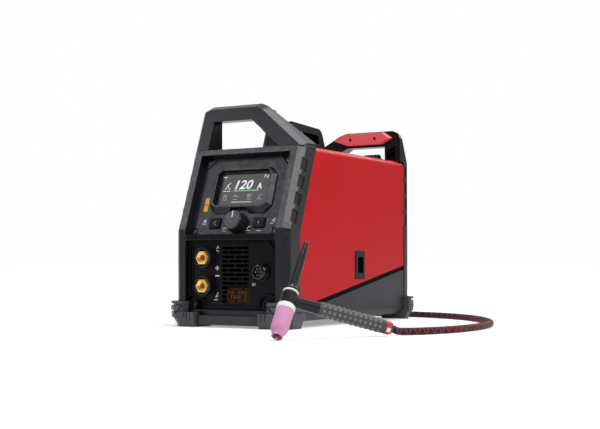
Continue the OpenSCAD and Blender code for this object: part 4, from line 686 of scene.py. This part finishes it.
for node_name in ("upper_socket", "lower_socket"):
    low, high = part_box(node_name)
    middle = (low + high) / 2 / MM
    places.append(on_connector_panel(middle.x, middle.z, low.y / MM))
mouths = copies_at(mouth, "socket_mouths", places)
keep(mouths, "brass")

# %% [markdown]
# The remote receptacle gets a coupling ring with a thick rounded lip, six contacts, and a small tag
# on a cord for its dust cap. The ring's section is walked from the flange over the lip and down
# into the mouth, and its two ends are bridged to close it.

# %% Receptacle ring, contacts and tag
RING_X, RING_Z = 55, 90
CONTACT_R = 6.5
steps = [(12.7, 0.3), (14.6, 0.3), (14.6, 1.4), (13.7, 1.9), (13.7, 2.5), (14.3, 2.9), (14.3, 4.4)]
steps += [(13.7, 5.9), (12.9, 7.4), (11.8, 8.6), (10.6, 9.3), (9.6, 9.4), (8.8, 8.9), (8.4, 7.8)]
steps += [(8.3, 4.3)]
ring = turned("receptacle_ring", steps, 40, hollow=True)
settle(ring, on_connector_panel(RING_X, RING_Z, -214.0))
keep(ring, "black_gloss")
pin = turned("receptacle_contact", [(0.9, 0), (0.9, 2.2), (0.6, 2.8), (0.2, 3.0)], 12)
places = []
for a in (math.radians(60 * k) for k in range(6)):
    x, z = RING_X + CONTACT_R * math.cos(a), RING_Z + CONTACT_R * math.sin(a)
    places.append(on_connector_panel(x, z, -217.5))
contacts = copies_at(pin, "receptacle_contacts", places)
keep(contacts, "brass")
cord_points = [(44.6, -214.2, 80.5), (41, -214.6, 79), (39.5, -214.4, 76), (40.6, -213.6, 72.4)]
tether = skin_along("cap_tether", smooth_curve([mm(*p) for p in cord_points]), 0.9, 10)
keep(tether, "black_gloss")
cap_tag = plate("cap_tag", 7, 5.4, 1.4, ("inset", 0.8), ("raise", 0.5))
raise_print()
settle(cap_tag, on_connector_panel(41.4, 70.2, -212.6))
keep(cap_tag, "grey_ink")

# %% [markdown]
# At the rear, the gas inlet has a thread, drawn as close ridges, and the power rocker carries the
# line and the ring that stand for on and off. The ring is made of sixteen short strokes.

# %% Rear fittings
REAR_X = 65
VALLEY_R, RIDGE_R, RIDGE_STEP = 7.95, 8.6, 1.9
OFF_R, OFF_SIDES = 2.4, 16
steps = [(VALLEY_R, 0.4)]
for z in (RIDGE_STEP * k for k in range(6)):
    steps += [(VALLEY_R, z + 0.5), (RIDGE_R, z + 1.2), (RIDGE_R, z + 1.5), (VALLEY_R, z + 2.2)]
thread = turned("gas_inlet_thread", steps, 32, hollow=True)
settle(thread, shift(REAR_X, 219.0, 170) @ facing_back)
keep(thread, "brass")
on_place = shift(REAR_X, 217.86, 234.02) @ turn(-20.3, "X") @ facing_back
off_place = shift(REAR_X, 215.95, 223.19) @ facing_back
round_it = [2 * math.pi * k / OFF_SIDES for k in range(OFF_SIDES + 1)]
corners = [(OFF_R * math.cos(a), OFF_R * math.sin(a)) for a in round_it]
off_ring = [(*a, *b) for a, b in zip(corners, corners[1:])]
strokes("switch_on_sign", [(0, -2.4, 0, 2.4)], 1.1, on_place, "pale_ink", body="power_rocker")
strokes("switch_off_sign", off_ring, 0.8, off_place, "pale_ink", body="power_rocker")

# %% [markdown]
# Light and finishes are drawn as nodes. These helpers feed a node, do a step of arithmetic, spread
# a value over a range, and give the place of a spot or the kind of a ray.


# %% Helpers for nodes
def feed(tree, node, values):
    """Gives each named input of a node its value, or the output of another node."""
    for name, value in values.items():
        if isinstance(value, bpy.types.NodeSocket):
            tree.links.new(value, node.inputs[name])
        else:
            node.inputs[name].default_value = value


def outputs_of(tree, kind, values=None, operation=None):
    """The outputs of a new node of one kind."""
    node = tree.nodes.new("ShaderNode" + kind)
    if operation:
        node.operation = operation
    feed(tree, node, values or {})
    return node.outputs


def math_of(tree, operation, *values):
    """One step of arithmetic on values, each a number or the output of a node."""
    return outputs_of(tree, "Math", dict(enumerate(values)), operation)[0]


def product_of(tree, first, *others):
    """All the values multiplied."""
    for other in others:
        first = math_of(tree, "MULTIPLY", first, other)
    return first


def between(tree, value, low, high, start=0.3, end=0.7):
    """Spreads a value over a range."""
    ends = {"From Min": start, "From Max": end, "To Min": low, "To Max": high}
    return outputs_of(tree, "MapRange", {"Value": value, **ends})["Result"]


def spot_on(tree, kind="Object"):
    """The X, Y and Z of a spot on the piece, or of the way that it faces."""
    return outputs_of(tree, "SeparateXYZ", {0: outputs_of(tree, "TexCoord")[kind]})


def rays(tree, kind):
    """1 for rays of one kind, and 0 for all others."""
    return outputs_of(tree, "LightPath")[f"Is {kind} Ray"]


def seen_rays(tree):
    """1 for rays from the camera or through glass, and 0 for all others."""
    return math_of(tree, "MAXIMUM", rays(tree, "Camera"), rays(tree, "Transmission"))


print("helpers for nodes are ready")

# %% [markdown]
# The picture is a product shot on white. The world is white where the camera sees it and dim as a
# light, so dark plastic stays dark. Glossy edges mirror the white backdrop behind and above, as
# they would in a studio. Three large lamps do the work: one overhead for the tops, one at the front
# left whose mirror image lies on the leaning face, and one at the right for the red side. A small
# card lifts the lower front, and a lamp behind draws the slopes of the handles.

# %% World and lamps
DIM = 0.17
world = bpy.data.worlds.new("white_studio")
bpy.context.scene.world = world
world.use_nodes = True
sky = world.node_tree
heading = spot_on(sky, "Generated")
behind = between(sky, heading["Y"], 0, 1, 0.1, 0.4)
above = between(sky, heading["Z"], 0, 1, 0.08, 0.23)
backdrop = product_of(sky, behind, above, rays(sky, "Glossy"))
white_share = math_of(sky, "MAXIMUM", seen_rays(sky), backdrop)
level = between(sky, white_share, DIM, 1.0, 0, 1)
feed(sky, sky.nodes["Background"], {"Color": (1, 1, 1, 1), "Strength": level})

let_go()
for name, at, aim, size, watts in (
    ("overhead_softbox", (0.06, 0.1, 2.4), (0, 0, 0.1), 0.95, 34),
    ("left_softbox", (-1.3, -1.65, 1.5), (0, -0.2, 0.2), 0.8, 11.6),
    ("right_softbox", (1.65, -0.75, 1.3), (0.1, 0, 0.15), 0.9, 20),
    ("front_card", (-1.36, -2.02, 0.2), (-0.05, -0.2, 0.1), 0.4, 0.85),
    ("rim_softbox", (0.42, 2.0, 1.3), (0.05, 0, 0.25), 0.7, 7.0),
):
    bpy.ops.object.light_add(type="AREA", location=at)
    lamp = bpy.context.object
    lamp.name = name
    lamp.data.shape = "SQUARE"
    lamp.data.size = size
    lamp.data.energy = watts
    lamp.rotation_euler = (Vector(aim) - Vector(at)).to_track_quat("-Z", "Y").to_euler()
bpy.context.scene.view_settings.view_transform = "Standard"

# %% [markdown]
# The floor keeps the soft shadow under the machine and glows more with distance, so it runs into
# the background without a line. Glossy edges mirror that glow too, apart from the floor far in
# front, which stays dark for them.

# %% Floor
FLOOR_R = 40
FLOOR_EDGE = 30
finishes = {}


def new_finish(name, colour, rough=0.5, gloss=0.5):
    """Makes a finish, lists it by name, and gives its node tree and its shader."""
    finish = bpy.data.materials.new(name)
    finish.use_nodes = True
    finish.diffuse_color = (*colour, 1)
    tree = finish.node_tree
    shader = tree.nodes["Principled BSDF"]
    basics = {"Base Color": (*colour, 1), "Roughness": rough, "Specular IOR Level": gloss}
    feed(tree, shader, basics)
    finishes[name] = finish
    return tree, shader


disc = dict(vertices=96, radius=1.0, fill_type="NGON")
floor = start(bpy.ops.mesh.primitive_circle_add, "studio_floor", **disc)
bpy.ops.transform.resize(value=(FLOOR_R, FLOOR_R, 1))
bpy.ops.mesh.inset(thickness=FLOOR_EDGE)
bpy.ops.object.mode_set(mode="OBJECT")
sheet, board = new_finish("white_floor", (0.86, 0.86, 0.86), 0.9, 0.1)
spot = outputs_of(sheet, "TexCoord")["Object"]
away = outputs_of(sheet, "VectorMath", {0: spot}, "LENGTH")["Value"]
not_in_front = between(sheet, spot_on(sheet)["Y"], 0, 1, -0.95, -0.55)
mirrored = product_of(sheet, not_in_front, rays(sheet, "Glossy"))
shown = math_of(sheet, "MAXIMUM", seen_rays(sheet), mirrored)
glow = product_of(sheet, shown, between(sheet, away, 0.34, 1.0, 0.5, 1.4))
feed(sheet, board, {"Emission Color": (1, 1, 1, 1), "Emission Strength": glow})
floor.data.materials.append(finishes["white_floor"])
print("floor of", len(floor.data.polygons), "faces")

# %% [markdown]
# Finishes. Moulded plastic, powder coat and rubber are alike: one colour with a broad unevenness,
# a fine grain that catches the light, a roughness that wanders, and edges that are slightly
# rounded and painted pale. The pale edges are partly wear and partly a painted highlight. One
# helper makes them all from Object coordinates, so the grain has its real size in millimetres, and
# each finish only gives its own numbers.


# %% Helpers for finishes
def cloud(tree, grains_per_metre, detail=2.0, stretch=(1, 1, 1)):
    """A noise over the piece, with its grain size given by how many fit in a metre."""
    place = outputs_of(tree, "TexCoord")["Object"]
    stretched = outputs_of(tree, "Mapping", {"Vector": place, "Scale": stretch})["Vector"]
    grain = {"Vector": stretched, "Scale": grains_per_metre, "Detail": detail}
    return outputs_of(tree, "TexNoise", grain)["Fac"]


def mixed(tree, share, first, second):
    """Mixes two colours, each a colour or the output of a node."""
    mix = tree.nodes.new("ShaderNodeMix")
    mix.data_type = "RGBA"
    ends = [(*c, 1) if isinstance(c, tuple) else c for c in (first, second)]
    feed(tree, mix, {"Factor": share, "A": ends[0], "B": ends[1]})
    return mix.outputs["Result"]


def times(colour, factor):
    """A colour made darker or paler."""
    return tuple(c * factor for c in colour)


def soft_edges(tree, radius):
    """Normals rounded at the edges, and a mask of where the edges are."""
    bevel = tree.nodes.new("ShaderNodeBevel")
    bevel.samples = 6
    feed(tree, bevel, {"Radius": radius * MM})
    rounded, flat = bevel.outputs["Normal"], outputs_of(tree, "NewGeometry")["Normal"]
    bent = outputs_of(tree, "VectorMath", {0: rounded, 1: flat}, "DOT_PRODUCT")["Value"]
    return rounded, between(tree, bent, 0, 1, 0.995, 0.85)


def relief(tree, height, strength, deep, **normal):
    """Fine bumps from a value that changes over the surface, with a depth in millimetres."""
    values = {"Height": height, "Strength": strength, "Distance": deep * MM, **normal}
    return outputs_of(tree, "Bump", values)["Normal"]


print("helpers for finishes are ready")

# %% [markdown]
# The table below gives each coating its colour, its roughness, its gloss and what else differs from
# the usual: how many grains fit in a metre, how high they are, how uneven the colour is, how round
# the edges are in millimetres, how far they are painted pale as wear and as painted highlight, and
# how much the roughness wanders.

# %% Coated and moulded finishes
COOL_SHEEN = (0.86, 0.89, 1.0, 1)
BLOTCHES, WEAR_AND_HIGHLIGHT_PATCHES, DULL_SPOTS = 22, 90, 140


def coated(
    name, colour, rough, gloss,
    metal=0.0, grain=1600, bump=0.08, uneven=0.12, edge=0.6, wear_and_highlight=0.25, wander=0.06,
):
    """A coated or moulded finish with grain, wandering roughness and edges painted pale as wear and
    highlight.
    """
    tree, shader = new_finish(name, colour, rough, gloss)
    normal, edges = soft_edges(tree, edge)
    broad = between(tree, cloud(tree, BLOTCHES, 3), 0, 1)
    body = mixed(tree, broad, times(colour, 1 - uneven), times(colour, 1 + uneven))
    wear_and_highlight_share = between(tree, cloud(tree, WEAR_AND_HIGHLIGHT_PATCHES, 3), 0, wear_and_highlight, 0.4, 0.7)
    wear_and_highlight_colour = tuple(min(1, c * 1.6 + 0.03) for c in colour)
    feed(tree, shader, {
        "Metallic": metal,
        "Specular Tint": COOL_SHEEN,
        "Base Color": mixed(tree, product_of(tree, edges, wear_and_highlight_share), body, wear_and_highlight_colour),
        "Roughness": between(tree, cloud(tree, DULL_SPOTS, 3), rough - wander, rough + wander),
        "Normal": relief(tree, cloud(tree, grain), bump, 0.2, Normal=normal),
    })


coatings = {
    # The bezel, the socket panel and the dial have their edges painted paler, as painted highlight.
    "bezel_plastic": ((0.0078, 0.008, 0.0098), 0.33, 0.4, dict(grain=900, bump=0.04, wear_and_highlight=0.5)),
    "handle_plastic": (
        (0.0065, 0.0067, 0.008), 0.31, 0.2, dict(grain=800, bump=0.02, wander=0.015)),
    "panel_plastic": ((0.015, 0.0155, 0.0175), 0.4, 0.34, dict(grain=1200, bump=0.05)),
    "frame_plastic": ((0.006, 0.006, 0.007), 0.32, 0.32, dict(grain=1200, bump=0.03, edge=0.3)),
    "socket_panel_plastic": ((0.0038, 0.0042, 0.0056), 0.36, 0.13, dict(edge=0.9, wear_and_highlight=1.0)),
    "dial_plastic": ((0.012, 0.012, 0.013), 0.34, 0.36, dict(grain=1200, bump=0.04, wear_and_highlight=0.9)),
    "black_trim": ((0.006, 0.006, 0.0065), 0.32, 0.3, dict(grain=2600, bump=0.05, wear_and_highlight=0.12)),
    "black_matt": ((0.006, 0.006, 0.0065), 0.45, 0.12, dict(grain=2200, bump=0.06, wear_and_highlight=0.4)),
    "black_gloss": ((0.005, 0.005, 0.006), 0.14, 0.5, dict(grain=2600, bump=0.02, wear_and_highlight=0.08)),
    "foot_rubber": ((0.07, 0.071, 0.08), 0.46, 0.45, dict(grain=1200, bump=0.14, edge=1.3)),
    "torch_rubber": ((0.056, 0.056, 0.058), 0.46, 0.45, dict(grain=1400, bump=0.12, edge=0.8)),
    "stud_rubber": ((0.17, 0.172, 0.155), 0.5, 0.5, dict(grain=1500, bump=0.1, edge=0.4)),
    "red_paint": (
        (0.535, 0.0075, 0.0115), 0.36, 0.12, dict(grain=420, bump=0.012, uneven=0.03, wear_and_highlight=0.1)),
    "grey_paint": ((0.03, 0.031, 0.041), 0.42, 0.24, dict(grain=420, bump=0.01, wander=0.02)),
    "red_plastic": (
        (0.7, 0.014, 0.02), 0.34, 0.6, dict(grain=900, bump=0.06, uneven=0.05, edge=1.0)),
    # The grips are a paler red than the same plastic on the collar, as painted sheen.
    "grip_red_painted_sheen": (
        (0.86, 0.115, 0.145), 0.34, 0.6, dict(grain=900, bump=0.04, uneven=0.05, edge=1.0)),
    "slot_black": ((0.008, 0.008, 0.009), 0.45, 0.16, dict(grain=2200, bump=0.04, wear_and_highlight=0.3)),
    "white_plastic": ((0.86, 0.85, 0.83), 0.42, 0.4, dict(grain=2200, uneven=0.04, wear_and_highlight=0.05)),
    "pink_ceramic": ((0.69, 0.305, 0.53), 0.5, 0.3, dict(grain=3200, bump=0.12, uneven=0.08)),
    "board_green": ((0.006, 0.035, 0.016), 0.4, 0.4, dict(grain=900, uneven=0.25)),
    "hose_blue": ((0.02, 0.09, 0.22), 0.5, 0.4, dict(grain=1500, uneven=0.1)),
    "dark_steel": ((0.07, 0.07, 0.075), 0.32, 0.5, dict(metal=0.9, grain=2500, uneven=0.2)),
    "varnished_winding": ((0.05, 0.022, 0.01), 0.35, 0.5, dict(grain=600, uneven=0.3)),
    # The heatsinks are painted near black, as painted shade of the inside seen through the louvre.
    "heatsink_painted_shade": ((0.012, 0.012, 0.013), 0.4, 0.4, dict(grain=1500, uneven=0.15)),
    "cast_ferrite": ((0.014, 0.014, 0.015), 0.55, 0.3, dict(grain=700, bump=0.2, uneven=0.2)),
    "pale_ink": ((0.78, 0.78, 0.79), 0.55, 0.3, dict(grain=3000, bump=0.05, edge=0.05, wear_and_highlight=0.1)),
    "grey_ink": ((0.34, 0.34, 0.35), 0.5, 0.3, dict(grain=3000, bump=0.05, edge=0.1, wear_and_highlight=0.1)),
    "amber_ink": ((0.86, 0.43, 0.012), 0.5, 0.3, dict(grain=3000, bump=0.05, edge=0.05, wear_and_highlight=0.1)),
    "strap_webbing": ((0.02, 0.02, 0.022), 0.8, 0.2, dict(grain=700, bump=0.5, edge=0.4)),
}
for name, (colour, rough, gloss, more) in coatings.items():
    coated(name, colour, rough, gloss, **more)
print("coated finishes:", len(coatings))

# %% [markdown]
# Bare metals. Turned brass, drawn copper and steel have hardly any colour of their own: what shows
# is the studio mirrored in them, broken up by fine tool marks. The marks are a noise stretched
# along one direction, which changes both the roughness and the relief. Brass and copper wear a
# thin film, so a part of their light is scattered in the film's own colour. Deep in a bore or
# behind the louvre, light bounces between bright walls far more often than a quick picture can
# follow, and a faint glow of the metal's own colour stands for it.

# %% Bare metals
FILM_SPOTS, TOOL_MARKS = 60, 900
EVEN, ALONG_X, ALONG_Y = (1, 1, 1), (0.2, 1, 1), (1, 0.15, 1)


def bare_metal(name, colour, rough, stretch, tarnish=0.3, metallic=1.0, glow=0.0):
    """A turned or drawn metal with tool marks, tarnish and, deep inside, a faint glow."""
    tree, shader = new_finish(name, colour, rough)
    film = between(tree, cloud(tree, FILM_SPOTS, 4), 0, 1)
    marks = cloud(tree, TOOL_MARKS, 2, stretch)
    feed(tree, shader, {
        "Metallic": metallic,
        "Emission Color": (*colour, 1),
        "Emission Strength": glow,
        "Base Color": mixed(tree, film, times(colour, 1 - tarnish), colour),
        "Roughness": between(tree, marks, rough - 0.08, rough + 0.1),
        "Normal": relief(tree, marks, 0.08, 0.1, Normal=soft_edges(tree, 0.35)[0]),
    })


for metal in (
    ("brass", (0.95, 0.60, 0.16), 0.23, ALONG_Y, 0.15, 0.72),
    ("bore_brass", (0.85, 0.46, 0.08), 0.3, ALONG_Y, 0.15, 0.4, 0.035),
    ("copper", (1.0, 0.45, 0.10), 0.24, EVEN, 0.2, 0.4, 0.022),
    ("bus_copper", (0.55, 0.24, 0.08), 0.4, EVEN, 0.4),
    ("steel", (0.60, 0.60, 0.61), 0.3, ALONG_X),
):
    bare_metal(*metal)
print("bare metals: brass, copper and steel")

# %% [markdown]
# The cable's braid is drawn from the map of round by along. Two sets of slanting waves cross to
# give the plait, and two red tracer yarns run round in opposite directions, so from any side they
# make a row of small Vs.

# %% Braided cable
YARNS_ROUND = 12
PLAIT_STEP = 0.0011
TRACER_STEP = 0.0155
TRACER_WIDTH = 0.038


def braid(name, yarn, tracer, length):
    """Braided yarn with a red tracer, on a cord of a given length in metres."""
    tree, shader = new_finish(name, yarn, 0.7, 0.3)
    place = tree.nodes.new("ShaderNodeUVMap")
    place.uv_map = "along_cord"
    at = outputs_of(tree, "SeparateXYZ", {0: place.outputs["UV"]})

    def wound(turns, step):
        """How far a yarn has wound: once round is some turns, and each step along is one."""
        around = product_of(tree, at["X"], turns)
        return math_of(tree, "ADD", around, product_of(tree, at["Y"], length / step))

    wave_turns = 2 * math.pi * YARNS_ROUND
    waves = [math_of(tree, "SINE", wound(wave_turns, sign * PLAIT_STEP)) for sign in (1, -1)]
    plait = product_of(tree, *waves)
    lines = []
    for sign, start in ((1, 0.0), (-1, 0.37)):
        part = math_of(tree, "FRACT", math_of(tree, "ADD", wound(1, sign * TRACER_STEP), start))
        gap = math_of(tree, "ABSOLUTE", math_of(tree, "SUBTRACT", part, 0.5))
        lines.append(math_of(tree, "LESS_THAN", gap, TRACER_WIDTH))
    cloth = mixed(tree, between(tree, plait, 0, 1, -0.6, 0.8), times(yarn, 0.45), yarn)
    feed(tree, shader, {
        "Base Color": mixed(tree, math_of(tree, "MAXIMUM", *lines), cloth, tracer),
        "Normal": relief(tree, plait, 0.5, 0.4),
    })


braid("cable_braid", (0.022, 0.021, 0.023), (0.55, 0.020, 0.036), cable_length)
print("braid drawn over", round(cable_length, 2), "m")

# %% [markdown]
# Some finishes change with the place on the piece, and each of these changes is painted light or
# shade. The base pan's folded edge, which the cover hides, is painted near black as painted shade.
# A side slot is painted near black deeper than its flange, as painted shade. The beams near the
# floor are painted paler in patches, as a painted reflection of the white floor, and the right rail
# beside the controls is painted a warmer grey in patches, as a painted highlight. The cover's
# inside is painted near black as painted shade.

# %% Finishes that change with the place
FOLD_TOP, FOLD_HALF = 0.0245, 0.1083
CORE_Z = 0.16


def repaint(tree, share, colour, gloss=None):
    """Lays a second colour, and its gloss if it has its own, over a share of a finish."""
    shader = tree.nodes["Principled BSDF"]
    first = shader.inputs["Base Color"].links[0].from_socket
    feed(tree, shader, {"Base Color": mixed(tree, share, first, colour)})
    if gloss is not None:
        sheen = "Specular IOR Level"
        own = shader.inputs[sheen].default_value
        feed(tree, shader, {sheen: between(tree, share, own, gloss, 0, 1)})


def within(tree, value, limit):
    """1 where a value is less than a limit, to either side of the middle."""
    return math_of(tree, "LESS_THAN", math_of(tree, "ABSOLUTE", value), limit)


# The folded edge behind the cover is painted near black, as painted shade.
pan = finishes["grey_paint"].node_tree
at = spot_on(pan)
high_up = math_of(pan, "GREATER_THAN", at["Z"], FOLD_TOP)
painted_fold_shade = product_of(pan, high_up, within(pan, at["X"], FOLD_HALF))
repaint(pan, painted_fold_shade, (0.002, 0.002, 0.002), 0.02)

# Deeper than its flange, the side slot is painted near black, as painted shade.
slot_low, slot_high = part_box("side_slots")
flange_back = max(slot_high.x, -slot_low.x) - 0.5 * MM
slot_painted_shade = finishes["slot_black"].node_tree
repaint(slot_painted_shade, within(slot_painted_shade, spot_on(slot_painted_shade)["X"], flange_back), (0.001, 0.001, 0.001), 0.01)

shell = finishes["bezel_plastic"].node_tree
at, facing = spot_on(shell), spot_on(shell, "Normal")
# Near the floor the bezels are painted paler in patches, as a painted reflection of the white
# floor.
low_down = between(shell, at["Z"], 1, 0, 0.018, 0.026)
floor_reflection_patches = between(shell, cloud(shell, 60, 4), 0.55, 1.0)
repaint(shell, product_of(shell, low_down, floor_reflection_patches), (0.034, 0.034, 0.038))
# The right rail beside the controls is painted a warmer grey in patches, as a painted highlight.
right_edge = between(shell, at["X"], 0, 1, 0.0985, 0.1000)
upper_half = between(shell, at["Z"], 0, 1, 0.160, 0.172)
in_front = math_of(shell, "LESS_THAN", at["Y"], 0.0)
not_sideways = math_of(shell, "LESS_THAN", facing["X"], 0.85)
rail_highlight_patches = between(shell, cloud(shell, 70, 4), 0.6, 1.0)
painted_rail_highlight = product_of(shell, right_edge, upper_half, not_sideways, in_front, rail_highlight_patches)
repaint(shell, painted_rail_highlight, (0.080, 0.074, 0.056))

# The cover's inside is painted near black, as painted shade.
skin = finishes["red_paint"].node_tree
at, facing = spot_on(skin), spot_on(skin, "Normal")
sideways = product_of(skin, at["X"], facing["X"])
upwards = product_of(skin, math_of(skin, "SUBTRACT", at["Z"], CORE_Z), facing["Z"])
inside = math_of(skin, "LESS_THAN", math_of(skin, "ADD", sideways, upwards), -0.02)
repaint(skin, inside, (0.004, 0.004, 0.004))
print("repainted by place: base pan, side slots, bezels and cover")

# %% [markdown]
# Lit marks on the screen give off their own light. The level wanders a little from spot to spot,
# as a backlight does. The display itself is a dark glass with light behind it, which keeps a
# sharp reflection and has a faint haze in its colour.


# %% Lit marks and display glass
def lit(name, colour, strength):
    """A mark that gives off light of one colour."""
    tree, shader = new_finish(name, colour, 0.3, 0.2)
    feed(tree, shader, {
        "Base Color": (0.02, 0.02, 0.02, 1),
        "Emission Color": (*colour, 1),
        "Emission Strength": between(tree, cloud(tree, 120), 0.9 * strength, 1.1 * strength),
    })


lit("lit_white", (0.86, 0.88, 0.95), 0.95)
lit("lit_blue", (0.42, 0.55, 0.80), 0.6)
lit("lit_green", (0.12, 0.72, 0.16), 0.75)
tree, glass = new_finish("screen_glass", (0.03, 0.03, 0.03), gloss=0.15)
haze = between(tree, cloud(tree, 30), 0, 1)
feed(tree, glass, {
    "Base Color": mixed(tree, haze, (0.016, 0.016, 0.015), (0.024, 0.024, 0.022)),
    "Roughness": between(tree, cloud(tree, 400), 0.16, 0.24),
    "Emission Color": (0.55, 0.56, 0.5, 1),
    "Emission Strength": 0.035,
})
print("lit marks and glass made, finishes in all:", len(finishes))

# %% [markdown]
# Every solid of the frame gets its finish here. The dictionary names the finish of each group of
# pieces, and the loop gives it to the solid without touching the solid's shape.

# %% Finishes for the solids
dressing = {
    "bezel_plastic": "front_bezel rear_bezel",
    "handle_plastic": "front_handle rear_handle top_caddy cable_clip",
    "panel_plastic": "control_panel",
    "frame_plastic": "display_bezel",
    "screen_glass": "display_glass",
    "socket_panel_plastic": "connector_panel rear_panel fan_frame fan_rotor",
    "dial_plastic": "dial_knob",
    "black_trim": "socket_collars remote_receptacle power_switch_frame power_switch_rocker "
                  "power_cord_gland back_cap plug_sleeve torch_body",
    "black_matt": "left_button right_button",
    "foot_rubber": "foot_front_left foot_front_right foot_rear_left foot_rear_right",
    "torch_rubber": "torch_grip",
    "red_paint": "case_cover",
    "grey_paint": "base_pan",
    "red_plastic": "torch_collar",
    "grip_red_painted_sheen": "front_handle_grip rear_handle_grip",
    "slot_black": "side_slots",
    "white_plastic": "dial_pointer heat_shield cap_seal",
    "brass": "gas_inlet collet_body plug_pin",
    "bore_brass": "upper_socket lower_socket",
    "bus_copper": "bus_bars",
    "steel": "encoder_shaft encoder_plunger gas_solenoid tungsten",
    "heatsink_painted_shade": "heatsinks",
    "board_green": "control_board circuit_boards",
    "cast_ferrite": "board_parts",
    "varnished_winding": "transformer_winding",
}
to_dress = list(kept)
for finish_name, names in dressing.items():
    to_dress += [(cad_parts[node_name], finish_name) for node_name in names.split()]
for piece, finish_name in to_dress:
    piece.data.materials.clear()
    piece.data.materials.append(finishes[finish_name])
print("solids dressed:", len(to_dress) - len(kept), "added pieces dressed:", len(kept))

# %% [markdown]

# %% End
print("done")
